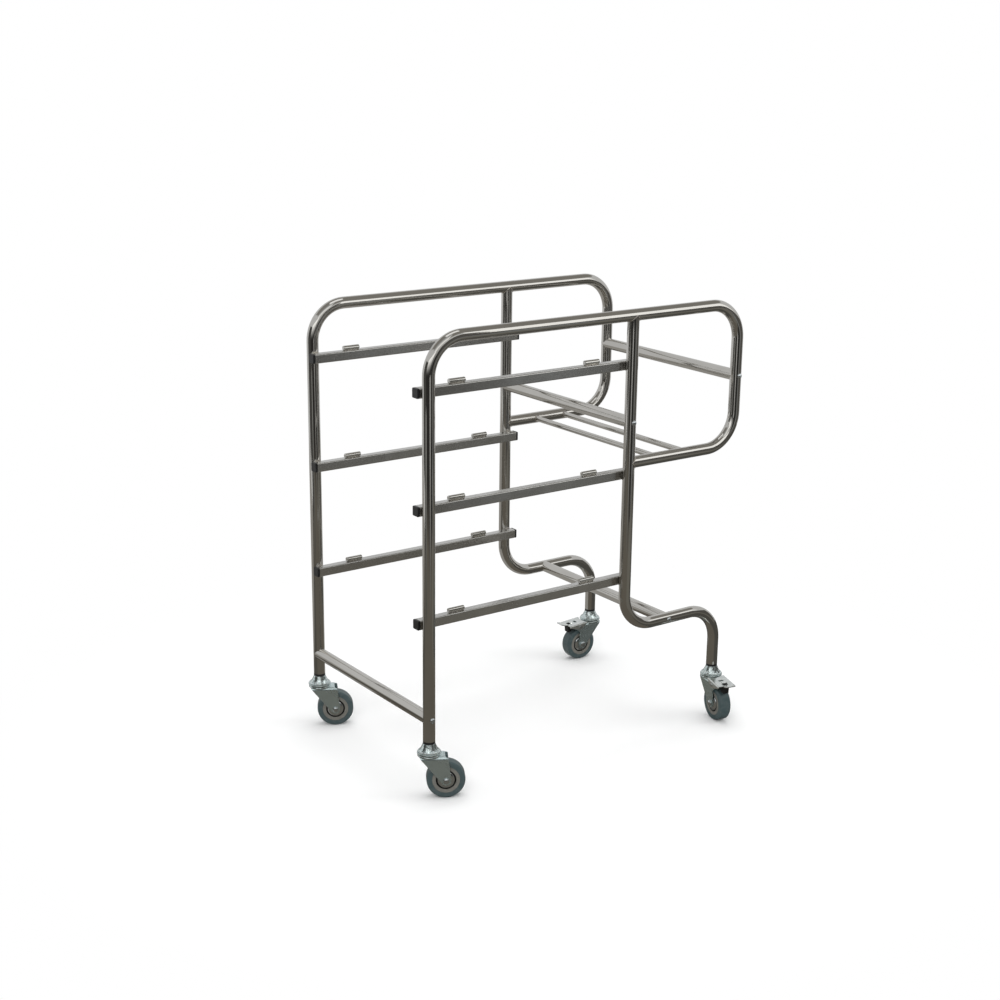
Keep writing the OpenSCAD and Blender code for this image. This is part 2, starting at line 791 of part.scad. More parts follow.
// Pivot pin of the pedal, riveted at both ends
module brake_pin(corner) {
    head_at = pedal_w / 2 + turn_gap;
    color(zinc) at_corner(corner) translate([brake_pin_x, 0, brake_pin_z]) rotate([90, 0, 0]) {
        cylinder(d = brake_pin_d, h = 2 * head_at + cut, center = true);
        for (side = [0, 1]) mirror([0, 0, side])
            translate([0, 0, head_at]) cylinder(d = brake_pin_head_d, h = brake_pin_head_h);
    }
}

// Rubber shoe under the pedal, hollowed to meet the tyre when the pedal is down
module brake_shoe(corner) {
    color("black") at_corner(corner) difference() {
        tilted() translate([trail + shoe_back, -shoe_w / 2, pedal_z - shoe_h])
            cube([shoe_l, shoe_w, shoe_h]);
        translate([brake_pin_x, 0, brake_pin_z]) rotate([0, -brake_press, 0])
            translate([trail - brake_pin_x, 0, wheel_r - brake_pin_z]) rotate([90, 0, 0])
                cylinder(r = wheel_r + shoe_gap, h = 2 * wheel_w, center = true);
    }
}

for (side = side_names) {
    side_tube(side);
    rear_upright(side);
    for (level = [0:len(level_names) - 1])
        runner(side, level);
}
runner_end_caps();
tray_stops();
front_cross_tube();
upper_cross_tube();
step_cross_tube();
push_handle();
shelf_rod(0);  // front_shelf_rod
shelf_rod(1);  // rear_shelf_rod
cross_tube_bolts();
cross_tube_plugs();
caster_sockets();
for (corner = corners) {
    caster_head(corner);
    race_balls(corner);
    caster_fork(corner);
    caster_axle(corner);
    caster_bush(corner);
    thread_guards(corner);
    wheel_core(corner);
    tyre(corner);
}
for (corner = braked) {
    brake_pedal(corner);
    brake_pin(corner);
    brake_shoe(corner);
}
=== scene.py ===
import json
import math

import bmesh
import bpy
from mathutils import Matrix, Vector


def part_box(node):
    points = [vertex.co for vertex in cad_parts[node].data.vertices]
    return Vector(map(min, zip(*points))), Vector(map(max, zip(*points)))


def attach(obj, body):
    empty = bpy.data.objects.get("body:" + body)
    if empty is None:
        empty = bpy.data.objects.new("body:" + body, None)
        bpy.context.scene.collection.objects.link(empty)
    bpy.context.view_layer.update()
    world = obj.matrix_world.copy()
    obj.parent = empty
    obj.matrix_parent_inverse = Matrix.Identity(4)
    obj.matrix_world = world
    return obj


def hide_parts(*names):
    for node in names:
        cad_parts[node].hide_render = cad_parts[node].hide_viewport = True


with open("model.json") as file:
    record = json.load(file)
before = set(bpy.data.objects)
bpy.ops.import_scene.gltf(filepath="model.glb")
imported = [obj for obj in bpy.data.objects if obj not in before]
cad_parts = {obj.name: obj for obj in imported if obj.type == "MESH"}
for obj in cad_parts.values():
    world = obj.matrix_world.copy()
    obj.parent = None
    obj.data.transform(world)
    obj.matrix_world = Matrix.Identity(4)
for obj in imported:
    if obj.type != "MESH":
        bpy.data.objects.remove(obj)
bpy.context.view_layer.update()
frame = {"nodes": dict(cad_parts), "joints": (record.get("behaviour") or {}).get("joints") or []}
scene = bpy.context.scene
mm = 0.001
corners = ("front_left", "front_right", "rear_right", "rear_left")
brakedCorners = ("rear_right", "rear_left")
levels = ("lower", "middle", "upper")
sideSigns = {"left": -1, "right": 1}
joints = {joint["name"]: joint for joint in frame["joints"]}
along, across, upward = Vector((1, 0, 0)), Vector((0, 1, 0)), Vector((0, 0, 1))


def middle(node):
    low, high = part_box(node)
    return (low + high) / 2


# the tube layout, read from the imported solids
sideLow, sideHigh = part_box("left_side_tube")
uprightLow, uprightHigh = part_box("left_rear_upright")
handleLow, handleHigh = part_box("push_handle")
rodLow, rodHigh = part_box("front_shelf_rod")
tubeRadius = (handleHigh.z - handleLow.z) / 2
rodRadius = (rodHigh.z - rodLow.z) / 2
frontX, loopX = sideLow.x + tubeRadius, sideHigh.x - tubeRadius
uprightX, rearLegX = uprightLow.x + tubeRadius, uprightHigh.x - tubeRadius
railZ, legEndZ = sideHigh.z - tubeRadius, sideLow.z
returnZ, stepZ = middle("front_shelf_rod").z, middle("step_cross_tube").z
halfWidth = middle("right_side_tube").y


def linkObject(name, data):
    obj = bpy.data.objects.new(name, data)
    scene.collection.objects.link(obj)
    return obj


def discard(obj):
    mesh = obj.data
    bpy.data.objects.remove(obj)
    bpy.data.meshes.remove(mesh)


shot = {
    "focal": 1682.92, "centre": (505.9, 517.59), "frameSize": 1000,  # in pixels of the photograph
    "sensor": 36, "yaw": -35.86, "pitch": 16.49, "roll": 0.69, "place": (-2.1101, -2.8665, 1.5303),
}


def makeCamera():
    yaw, pitch, roll = (math.radians(shot[key]) for key in ("yaw", "pitch", "roll"))
    back = Vector((math.sin(yaw) * math.cos(pitch), -math.cos(yaw) * math.cos(pitch), math.sin(pitch)))
    right = upward.cross(back).normalized()
    top = back.cross(right)
    tiltedRight = right * math.cos(roll) + top * math.sin(roll)
    tiltedTop = top * math.cos(roll) - right * math.sin(roll)
    turn = Matrix((tiltedRight, tiltedTop, back)).transposed().to_4x4()
    lens = bpy.data.cameras.new("camera")
    lens.sensor_width = shot["sensor"]
    lens.lens = shot["focal"] / shot["frameSize"] * shot["sensor"]
    lens.shift_x = 0.5 - shot["centre"][0] / shot["frameSize"]
    lens.shift_y = shot["centre"][1] / shot["frameSize"] - 0.5
    camera = linkObject("camera", lens)
    camera.matrix_world = Matrix.Translation(shot["place"]) @ turn
    scene.camera = camera


makeCamera()
scene.view_settings.view_transform = "Standard"
print("camera set")


# sets a node's inputs, by name or by number, from sockets to link or plain values
def setInputs(tree, node, inputs):
    for key, value in inputs.items():
        if isinstance(value, bpy.types.NodeSocket):
            tree.links.new(value, node.inputs[key])
        else:
            node.inputs[key].default_value = value


def addNode(tree, kind, inputs=None, **settings):
    node = tree.nodes.new(kind)
    for key, value in settings.items():
        setattr(node, key, value)
    setInputs(tree, node, inputs or {})
    return node


def mathNode(tree, operation, first, second=0.0):
    return addNode(tree, "ShaderNodeMath", {0: first, 1: second}, operation=operation).outputs[0]


# mixes two colours, each a socket or a tone
def mixNode(tree, share, first, second):
    first, second = ((*end, 1) if isinstance(end, tuple) else end for end in (first, second))
    return addNode(tree, "ShaderNodeMix", {"Factor": share, 6: first, 7: second}, data_type="RGBA").outputs[2]


def noiseNode(tree, vector, scale, **more):
    return addNode(tree, "ShaderNodeTexNoise", {"Vector": vector, "Scale": scale, **more}).outputs["Fac"]


def smoothStep(tree, value, low, high):
    inputs = {"Value": value, "From Min": low, "From Max": high}
    return addNode(tree, "ShaderNodeMapRange", inputs, interpolation_type="SMOOTHSTEP").outputs["Result"]


def spread(tree, value, low, high):
    inputs = {"Value": value, "To Min": low, "To Max": high}
    return addNode(tree, "ShaderNodeMapRange", inputs).outputs["Result"]


# starts an effect that is laid out on a vector
def effectGroup(name, outputs, **inputs):
    group = bpy.data.node_groups.new(name, "ShaderNodeTree")
    group.interface.new_socket("Vector", in_out="INPUT", socket_type="NodeSocketVector")
    for label, value in inputs.items():
        socket = group.interface.new_socket(label, in_out="INPUT", socket_type="NodeSocketFloat")
        socket.default_value = value
    for label in outputs:
        group.interface.new_socket(label, in_out="OUTPUT", socket_type="NodeSocketFloat")
    return group, group.nodes.new("NodeGroupInput").outputs, group.nodes.new("NodeGroupOutput").inputs


# fine lines of belt polishing, drawn out along Z of the given coordinates
def makePolishLines():
    group, start, end = effectGroup("polishLines", ("Lines",), Density=900.0, Draw=0.02)
    stretch = addNode(group, "ShaderNodeCombineXYZ", {0: 1.0, 1: 1.0, 2: start["Draw"]}).outputs[0]
    drawn = addNode(group, "ShaderNodeVectorMath", {0: start["Vector"], 1: stretch}, operation="MULTIPLY")
    lines = noiseNode(group, drawn.outputs[0], start["Density"], Detail=3.0, Roughness=0.6)
    group.links.new(lines, end["Lines"])
    return group


# soft patches left by hands, cloths and trays
def makeHandling():
    group, start, end = effectGroup("handling", ("Patches",), Scale=18.0, Spread=0.5)
    cloud = noiseNode(group, start["Vector"], start["Scale"], Detail=4.0, Distortion=0.6)
    strongest = 0.75  # level of the noise at which a patch is full
    low = mathNode(group, "SUBTRACT", strongest, start["Spread"])
    group.links.new(smoothStep(group, cloud, low, strongest), end["Patches"])
    return group


# grain of plating, moulding or rubber at a chosen size
def makeGrain():
    group, start, end = effectGroup("grain", ("Grain", "Specks"), Scale=400.0)
    inputs = {"Vector": start["Vector"], "Scale": start["Scale"]}
    cells = addNode(group, "ShaderNodeTexVoronoi", inputs, feature="SMOOTH_F1")
    group.links.new(noiseNode(group, start["Vector"], start["Scale"], Detail=5.0), end["Grain"])
    group.links.new(cells.outputs["Distance"], end["Specks"])
    return group


polishLines, handling, grain = makePolishLines(), makeHandling(), makeGrain()


def startMaterial(name, metallic):
    material = bpy.data.materials.new(name)
    material.use_nodes = True
    tree = material.node_tree
    shader = tree.nodes["Principled BSDF"]
    shader.inputs["Metallic"].default_value = metallic
    return material, tree, shader


def groupNode(tree, group, **inputs):
    return addNode(tree, "ShaderNodeGroup", inputs, node_tree=group).outputs


def bump(tree, height, depth):
    inputs = {"Height": height, "Strength": 1.0, "Distance": depth}
    return addNode(tree, "ShaderNodeBump", inputs).outputs["Normal"]


# patches left by hands, with the scale and spread that a look gives
def patchNode(tree, place, look):
    scale, reach = look["patches"]
    return groupNode(tree, handling, Vector=place, Scale=scale, Spread=reach)["Patches"]


# tones go from clean to handled; lines have a density, draw and depth, along run on a tube and else along X
steelLooks = {
    "stainless": {
        "tones": ((0.66, 0.645, 0.615), (0.61, 0.595, 0.565)), "roughness": (0.05, 0.09),
        "smudge": 0.03, "patches": (9.0, 0.45), "lines": (1400.0, 0.015, 0.000003), "run": "tubeRun",
    },
    "runnerSteel": {
        "tones": ((0.68, 0.675, 0.66), (0.6, 0.595, 0.58)), "roughness": (0.16, 0.26), "smudge": 0.06,
        "patches": (14.0, 0.45), "lines": (1800.0, 0.012, 0.00001),
    },
    "stopSteel": {
        "tones": ((0.7, 0.69, 0.66), (0.62, 0.61, 0.58)), "roughness": (0.06, 0.11), "smudge": 0.03,
        "patches": (30.0, 0.45), "lines": (1600.0, 0.02, 0.000004),
    },
    "weldSteel": {
        "tones": ((0.6, 0.57, 0.5), (0.46, 0.43, 0.42)), "roughness": (0.22, 0.36), "smudge": 0.08,
        "patches": (120.0, 0.45), "lines": (700.0, 0.5, 0.00004),
    },
}


def makeStainless(name, look):
    material, tree, shader = startMaterial(name, 1.0)
    place = addNode(tree, "ShaderNodeTexCoord").outputs["Object"]
    if "run" in look:
        run = addNode(tree, "ShaderNodeAttribute", attribute_name=look["run"]).outputs["Vector"]
    else:
        inputs = {"Vector": place, "Rotation": (0, math.radians(90), 0)}
        run = addNode(tree, "ShaderNodeMapping", inputs).outputs["Vector"]
    density, draw, depth = look["lines"]
    lines = groupNode(tree, polishLines, Vector=run, Density=density, Draw=draw)["Lines"]
    patches = patchNode(tree, place, look)
    smudge = mathNode(tree, "MULTIPLY", patches, look["smudge"])
    roughness = mathNode(tree, "ADD", spread(tree, lines, *look["roughness"]), smudge)
    colour = mixNode(tree, patches, *look["tones"])
    normal = bump(tree, lines, depth)
    setInputs(tree, shader, {"Base Color": colour, "Roughness": roughness, "Normal": normal})
    return material


# plating, plastic and rubber, which differ only in their values; an optional painted shade is given as a mask
# on the mesh and its dark tone
coatLooks = {
    "forkZinc": {
        "metallic": 0.95, "tones": ((0.68, 0.8, 0.81), (0.61, 0.72, 0.73)), "roughness": (0.22, 0.3),
        "grain": (900.0, 0.000004), "patches": (30.0, 0.45),  # scale and depth, scale and spread
    },
    "pedalZinc": {
        "metallic": 1.0, "tones": ((0.86, 0.89, 0.88), (0.7, 0.74, 0.73)), "roughness": (0.14, 0.24),
        "grain": (900.0, 0.000006), "patches": (70.0, 0.45),
    },
    "brightZinc": {
        "metallic": 1.0, "tones": ((0.74, 0.78, 0.8), (0.62, 0.66, 0.68)), "roughness": (0.08, 0.16),
        "grain": (1100.0, 0.000006), "patches": (80.0, 0.45),
    },
    # its patches swing from pale zinc to a dark teal tone; the dark teal is painted reflection of dark
    # surroundings, laid into the base colour
    "headZinc": {
        "metallic": 1.0, "tones": ((0.8, 0.88, 0.88), (0.38, 0.48, 0.48)), "roughness": (0.08, 0.2),
        "grain": (300.0, 0.0003), "patches": (260.0, 0.4),
    },
    "tyreRubber": {
        "metallic": 0.0, "tones": ((0.048, 0.075, 0.079), (0.075, 0.098, 0.101)),
        "roughness": (0.34, 0.5), "grain": (1500.0, 0.00005), "patches": (70.0, 0.4),
    },
    # the near black tone in its recess is painted shade, standing in for the shadow in that hollow, not a
    # colour of the plastic
    "corePlastic": {
        "metallic": 0.0, "tones": ((0.17, 0.165, 0.145), (0.135, 0.131, 0.116)),
        "paintedShade": ("recess", (0.012, 0.012, 0.012)), "roughness": (0.38, 0.55),
        "grain": (1800.0, 0.00002), "patches": (90.0, 0.4),
    },
    "blackPlastic": {
        "metallic": 0.0, "tones": ((0.006, 0.006, 0.0065), (0.015, 0.015, 0.016)),
        "roughness": (0.32, 0.5), "grain": (1600.0, 0.00003), "patches": (110.0, 0.4),
    },
    "brakeRubber": {
        "metallic": 0.0, "tones": ((0.005, 0.005, 0.0055), (0.012, 0.012, 0.0125)),
        "roughness": (0.55, 0.8), "grain": (1200.0, 0.00008), "patches": (100.0, 0.4),
    },
}
patchBreakUp = (0.4, 1.2)  # how far the grain thins and thickens the patches


def makeCoated(name, look):
    material, tree, shader = startMaterial(name, look["metallic"])
    place = addNode(tree, "ShaderNodeTexCoord").outputs["Object"]
    grainScale, grainDepth = look["grain"]
    fine = groupNode(tree, grain, Vector=place, Scale=grainScale)
    breakUp = spread(tree, fine["Grain"], *patchBreakUp)
    mixed = mathNode(tree, "MULTIPLY", patchNode(tree, place, look), breakUp)
    colour = mixNode(tree, mixed, *look["tones"])
    # painted shade: where the mesh's mask is set, the colour goes to the dark tone in place of the shadow in
    # a hollow
    if "paintedShade" in look:
        mask, tone = look["paintedShade"]
        depth = addNode(tree, "ShaderNodeAttribute", attribute_name=mask).outputs["Fac"]
        colour = mixNode(tree, depth, colour, tone)
    roughness = spread(tree, mixed, *look["roughness"])
    normal = bump(tree, mathNode(tree, "ADD", fine["Grain"], fine["Specks"]), grainDepth)
    setInputs(tree, shader, {"Base Color": colour, "Roughness": roughness, "Normal": normal})
    return material


steels = [makeStainless(name, look) for name, look in steelLooks.items()]
stainless, runnerSteel, stopSteel, weldSteel = steels
coats = [makeCoated(name, look) for name, look in coatLooks.items()]
forkZinc, pedalZinc, brightZinc, headZinc, tyreRubber, corePlastic, blackPlastic, brakeRubber = coats
print("materials made:", len(bpy.data.materials))


def addPiece(name, mesh, body, slotName, *nodes):
    piece = linkObject(name, mesh)
    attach(piece, body)
    if nodes:
        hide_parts(*nodes)


# every tree takes a line or points and ends with one material
def startTree(name, sizes):
    tree = bpy.data.node_groups.new(name, "GeometryNodeTree")
    tree.interface.new_socket("Geometry", in_out="INPUT", socket_type="NodeSocketGeometry")
    for label, kind in (sizes | {"Finish": "Material"}).items():
        tree.interface.new_socket(label, in_out="INPUT", socket_type="NodeSocket" + kind)
    tree.interface.new_socket("Geometry", in_out="OUTPUT", socket_type="NodeSocketGeometry")
    return tree, tree.nodes.new("NodeGroupInput").outputs, tree.nodes.new("NodeGroupOutput").inputs


# adds a geometry node and gives its first output
def flow(tree, kind, inputs=None, **settings):
    return addNode(tree, "GeometryNode" + kind, inputs, **settings).outputs[0]


def sweep(tree, curve, profile, **more):
    return flow(tree, "CurveToMesh", {"Curve": curve, "Profile Curve": profile, "Fill Caps": True, **more})


def fillet(tree, curve, steps, radius):
    return flow(tree, "FilletCurve", {"Curve": curve, "Count": steps, "Radius": radius}, mode="POLY")


# keeps a value along a curve for the mesh that is swept from it
def capture(tree, curve, label, value):
    node = addNode(tree, "GeometryNodeCaptureAttribute", {"Geometry": curve})
    node.capture_items.new("FLOAT", label)
    tree.links.new(value, node.inputs[label])
    return node.outputs["Geometry"], node.outputs[label]


def endTree(tree, geometry, sizes, out):
    smooth = flow(tree, "SetShadeSmooth", {"Geometry": geometry})
    real = flow(tree, "RealizeInstances", {"Geometry": smooth})
    finished = flow(tree, "SetMaterial", {"Geometry": real, "Material": sizes["Finish"]})
    tree.links.new(finished, out["Geometry"])


# a tube swept along a line of corner points, its corners bent, with its own run stored for the polish
def makeBentTubeTree():
    kinds = {"Radius": "Float", "Bend Radius": "Float", "Bend Steps": "Int", "Around": "Int"}
    tree, sizes, out = startTree("bentTube", kinds)
    line = flow(tree, "MeshToCurve", {"Mesh": sizes["Geometry"]})
    bent = fillet(tree, line, sizes["Bend Steps"], sizes["Bend Radius"])
    ring = flow(tree, "CurvePrimitiveCircle", {"Resolution": sizes["Around"], "Radius": sizes["Radius"]})
    reach = addNode(tree, "GeometryNodeSplineParameter").outputs
    path, run = capture(tree, bent, "run", reach["Length"])
    profile, turn = capture(tree, ring, "turn", reach["Factor"])
    angle = mathNode(tree, "MULTIPLY", turn, math.tau)
    waves = [mathNode(tree, wave, angle) for wave in ("COSINE", "SINE")]
    x, y = (mathNode(tree, "MULTIPLY", wave, sizes["Radius"]) for wave in waves)
    rolled = addNode(tree, "ShaderNodeCombineXYZ", {0: x, 1: y, 2: run}).outputs[0]
    inputs = {"Geometry": sweep(tree, path, profile), "Name": "tubeRun", "Value": rolled}
    stored = flow(tree, "StoreNamedAttribute", inputs, data_type="FLOAT_VECTOR", domain="POINT")
    endTree(tree, stored, sizes, out)
    return tree


# a rounded square bar along a line
def makeSquareBarTree():
    tree, sizes, out = startTree("squareBar", {"Size": "Float", "Corner": "Float", "Corner Steps": "Int"})
    line = flow(tree, "MeshToCurve", {"Mesh": sizes["Geometry"]})
    square = flow(tree, "CurvePrimitiveQuadrilateral", {"Width": sizes["Size"], "Height": sizes["Size"]})
    bar = sweep(tree, line, fillet(tree, square, sizes["Corner Steps"], sizes["Corner"]))
    endTree(tree, bar, sizes, out)
    return tree


# a rippled weld bead along lines; Taper draws in the ends of open beads
def makeWeldTree():
    labels = ("Radius", "Ripple", "Ripple Pitch", "Step", "Taper", "Least")
    tree, sizes, out = startTree("weldBead", {**dict.fromkeys(labels, "Float"), "Around": "Int"})
    line = flow(tree, "MeshToCurve", {"Mesh": sizes["Geometry"]})
    fine = flow(tree, "ResampleCurve", {"Curve": line, "Length": sizes["Step"]}, mode="LENGTH")
    reach = addNode(tree, "GeometryNodeSplineParameter").outputs
    phase = mathNode(tree, "DIVIDE", reach["Length"], sizes["Ripple Pitch"])
    wave = mathNode(tree, "SINE", mathNode(tree, "MULTIPLY", phase, math.tau))
    rippled = mathNode(tree, "ADD", mathNode(tree, "MULTIPLY", wave, sizes["Ripple"]), 1.0)
    swell = mathNode(tree, "SINE", mathNode(tree, "MULTIPLY", reach["Factor"], math.pi))
    drawnIn = mathNode(tree, "POWER", mathNode(tree, "MAXIMUM", swell, sizes["Least"]), sizes["Taper"])
    ring = flow(tree, "CurvePrimitiveCircle", {"Resolution": sizes["Around"], "Radius": sizes["Radius"]})
    bead = sweep(tree, fine, ring, Scale=mathNode(tree, "MULTIPLY", rippled, drawnIn))
    endTree(tree, bead, sizes, out)
    return tree


# copies of one piece at points, each turned by the point's own angles
def makeSetOutTree():
    tree, sizes, out = startTree("setOut", {"Piece": "Object"})
    turn = flow(tree, "InputNamedAttribute", {"Name": "turn"}, data_type="FLOAT_VECTOR")
    rotation = addNode(tree, "FunctionNodeEulerToRotation", {"Euler": turn}).outputs["Rotation"]
    piece = addNode(tree, "GeometryNodeObjectInfo", {"Object": sizes["Piece"]}).outputs["Geometry"]
    inputs = {"Points": sizes["Geometry"], "Instance": piece, "Rotation": rotation}
    endTree(tree, flow(tree, "InstanceOnPoints", inputs), sizes, out)
    return tree


bentTubeTree, squareBarTree = makeBentTubeTree(), makeSquareBarTree()
weldTree, setOutTree = makeWeldTree(), makeSetOutTree()
print("node trees made:", len(bpy.data.node_groups))


def plainMesh(host, name):
    bpy.context.view_layer.update()
    mesh = bpy.data.meshes.new_from_object(host.evaluated_get(bpy.context.evaluated_depsgraph_get()))
    mesh.name = name
    discard(host)
    return mesh


# runs lines of points through a tree and gives back a plain mesh; sizes are named as the tree's inputs
def grow(name, lines, tree, sizes, closed=False, turns=None):
    points, edges = [], []
    for line in lines:
        first = len(points)
        points.extend(line)
        edges.extend((first + step, first + step + 1) for step in range(len(line) - 1))
        if closed:
            edges.append((len(points) - 1, first))
    path = bpy.data.meshes.new(name)
    path.from_pydata(points, edges, [])
    if turns:
        attribute = path.attributes.new("turn", "FLOAT_VECTOR", "POINT")
        attribute.data.foreach_set("vector", [angle for turn in turns for angle in turn])
    host = linkObject(name, path)
    modifier = host.modifiers.new(tree.name, "NODES")
    modifier.node_group = tree
    for item in tree.interface.items_tree:
        if item.in_out == "INPUT" and item.name in sizes:
            modifier[item.identifier] = sizes[item.name]
    return plainMesh(host, name)


def meshFrom(name, work):
    mesh = bpy.data.meshes.new(name)
    work.to_mesh(mesh)
    work.free()
    return mesh


def smoothFaces(mesh):
    for polygon in mesh.polygons:
        polygon.use_smooth = True


edgeAngles = {"bevel": math.radians(35), "sharp": math.radians(40)}


# evens out shading after an optional bevel and boolean cuts, which are other work meshes
def hardMesh(name, work, finish, bevel=0.0, steps=2, cuts=(), place=Matrix()):
    host = linkObject(name, meshFrom(name, work))
    tools = []
    for operation, cutter in cuts:
        tool = linkObject(name + "Tool", meshFrom(name + "Tool", cutter))
        tools.append(tool)
        modifier = host.modifiers.new(operation, "BOOLEAN")
        modifier.operation, modifier.object, modifier.solver = operation, tool, "EXACT"
    if bevel:
        modifier = host.modifiers.new("edges", "BEVEL")
        modifier.width, modifier.segments = bevel, steps
        modifier.limit_method, modifier.angle_limit = "ANGLE", edgeAngles["bevel"]
        modifier.use_clamp_overlap = True
    host.modifiers.new("shading", "WEIGHTED_NORMAL").keep_sharp = True
    smoothFaces(host.data)
    result = plainMesh(host, name)
    for tool in tools:
        discard(tool)
    smoothFaces(result)
    result.set_sharp_from_angle(angle=edgeAngles["sharp"])
    result.materials.clear()
    result.materials.append(finish)
    result.transform(place)
    return result


def joined(name, meshes, finish, place=Matrix()):
    work = bmesh.new()
    for mesh in meshes:
        work.from_mesh(mesh)
        bpy.data.meshes.remove(mesh)
    return hardMesh(name, work, finish, place=place)


def arc(centre, radius, start, end, steps):
    turns = [math.radians(start + (end - start) * step / steps) for step in range(steps + 1)]
    return [(centre[0] + radius * math.cos(turn), centre[1] + radius * math.sin(turn)) for turn in turns]


# profile of a dome from its edge up to an angle, 90 at the top
def dome(radius, rise, steps, end=90):
    turns = [math.radians(end * step / steps) for step in range(steps + 1)]
    return [(radius * math.cos(turn), rise * math.sin(turn)) for turn in turns]


# angle at which a line from point meets a circle without cutting it
def touchAngle(point, centre, radius, side):
    reach = Vector(point) - Vector(centre)
    return math.degrees(math.atan2(reach.y, reach.x) + side * math.acos(radius / reach.length))


# round end between the straight edges that come from one point and go on to another
def roundEnd(before, centre, radius, after, steps):
    first = touchAngle(before, centre, radius, 1) % 360
    return arc(centre, radius, first, touchAngle(after, centre, radius, -1) + 360, steps)


# closed outline whose corners, given as (x, y, radius), are rounded off
def eased(points, steps=5):
    outline = []
    for index, (x, y, radius) in enumerate(points):
        here = Vector((x, y))
        if not radius:
            outline.append((x, y))
            continue
        before = (Vector(points[index - 1][:2]) - here).normalized()
        after = (Vector(points[(index + 1) % len(points)][:2]) - here).normalized()
        half = before.angle(after) / 2
        centre = here + (before + after).normalized() * radius / math.sin(half)
        first, last = (here + way * radius / math.tan(half) - centre for way in (before, after))
        start = math.degrees(math.atan2(first.y, first.x))
        outline += arc(centre, radius, start, start - math.degrees(first.angle_signed(last)), steps)
    return outline


def rectangle(left, right, low, high, corner=0):
    return eased([(left, low, corner), (right, low, corner), (right, high, corner), (left, high, corner)])


# adds the other half of a profile, below the middle
def mirrored(half):
    return [(point[0], -point[1], *point[2:]) for point in reversed(half)] + half


# section of a sheet folded down on both sides; lean spreads the sides towards their foot
def foldedSection(sizes, wall, top, lean=0):
    outer, inner, low, foot = sizes["outer"], sizes["outer"] - wall, top - wall, sizes["foot"]
    return eased(
        [
            (-outer - lean, foot, 0),
            (-outer, top, sizes["outerBend"]),
            (outer, top, sizes["outerBend"]),
            (outer + lean, foot, 0),
            (inner + lean, foot, 0),
            (inner, low, sizes["innerBend"]),
            (-inner, low, sizes["innerBend"]),
            (-inner - lean, foot, 0),
        ],
        6,
    )


# solid of revolution about Z from (radius, height) pairs; a profile clear of the axis closes on itself
def turned(profile, steps=64, work=None):
    work = work or bmesh.new()
    ways = [(math.cos(math.tau * step / steps), math.sin(math.tau * step / steps)) for step in range(steps)]
    onAxis = 1e-6
    rings = []
    for radius, height in profile:
        count = steps if radius > onAxis else 1
        rings.append([work.verts.new((radius * x, radius * y, height)) for x, y in ways[:count]])
    pairs = list(zip(rings, rings[1:]))
    if len(rings[0]) > 1 and len(rings[-1]) > 1:
        pairs.append((rings[-1], rings[0]))
    for lower, upper in pairs:
        for step in range(steps):
            after = (step + 1) % steps
            places = (lower, step), (lower, after), (upper, after), (upper, step)
            work.faces.new(dict.fromkeys(ring[turn % len(ring)] for ring, turn in places))
    bmesh.ops.recalc_face_normals(work, faces=work.faces)
    return work


def cylinder(radius, low, high, steps):
    return turned([(0, low), (radius, low), (radius, high), (0, high)], steps)


# ways to lay an outline with its depth: flat, from the side of the trail, or from its end
lay = {
    "flat": lambda x, y, depth: (x, y, depth),
    "sideOn": lambda x, z, y: (x, y, z),
    "endOn": lambda y, z, x: (x, y, z),
}


def prism(outline, near, far, way="flat"):
    work = bmesh.new()
    ends = [[work.verts.new(lay[way](x, y, depth)) for x, y in outline] for depth in (near, far)]
    work.faces.new(ends[0])
    work.faces.new(reversed(ends[1]))
    for step in range(len(outline)):
        after = (step + 1) % len(outline)
        work.faces.new((ends[0][step], ends[1][step], ends[1][after], ends[0][after]))
    bmesh.ops.recalc_face_normals(work, faces=work.faces)
    return work


tubeSizes = {"Bend Radius": 76 * mm, "Bend Steps": 16, "Around": 48, "Finish": stainless}


# an end ring that stands inside another tube slides out along its own tube to that tube's wall
def cope(mesh, centre, axis, out, radius):
    for vertex in mesh.vertices:
        offset = vertex.co - centre
        height, inward = offset.dot(axis), offset.dot(out)
        if abs(height) > 2 * radius or abs(inward) > radius:
            continue
        sideways = (offset - axis * height - out * inward).length
        wall = math.sqrt(max(radius ** 2 - sideways ** 2, 0))
        vertex.co += out * max(wall - inward, 0)


def makeTube(name, points, radius, joins):
    mesh = grow(name, [points], bentTubeTree, dict(tubeSizes, Radius=radius))
    for centre, axis, out in joins:
        cope(mesh, centre, axis, out, tubeRadius)
    addPiece("polished_" + name, mesh, "frame", "stainless", name)


sidePath = ((frontX, legEndZ), (frontX, railZ), (loopX, railZ), (loopX, returnZ), (uprightX, returnZ))
uprightPath = ((uprightX, railZ), (uprightX, stepZ), (rearLegX, stepZ), (rearLegX, legEndZ))
weldRings = []  # (tube radius, centre, axis of the tube it sits on, direction out of that tube)
for side, sign in sideSigns.items():
    y = sign * halfWidth
    returnJoin = (Vector((uprightX, y, returnZ)), upward, along)
    railJoin = (Vector((uprightX, y, railZ)), along, -upward)
    makeTube(side + "_side_tube", [(x, y, z) for x, z in sidePath], tubeRadius, [returnJoin])
    makeTube(side + "_rear_upright", [(x, y, z) for x, z in uprightPath], tubeRadius, [railJoin])
    weldRings += [(tubeRadius, *returnJoin), (tubeRadius, *railJoin)]

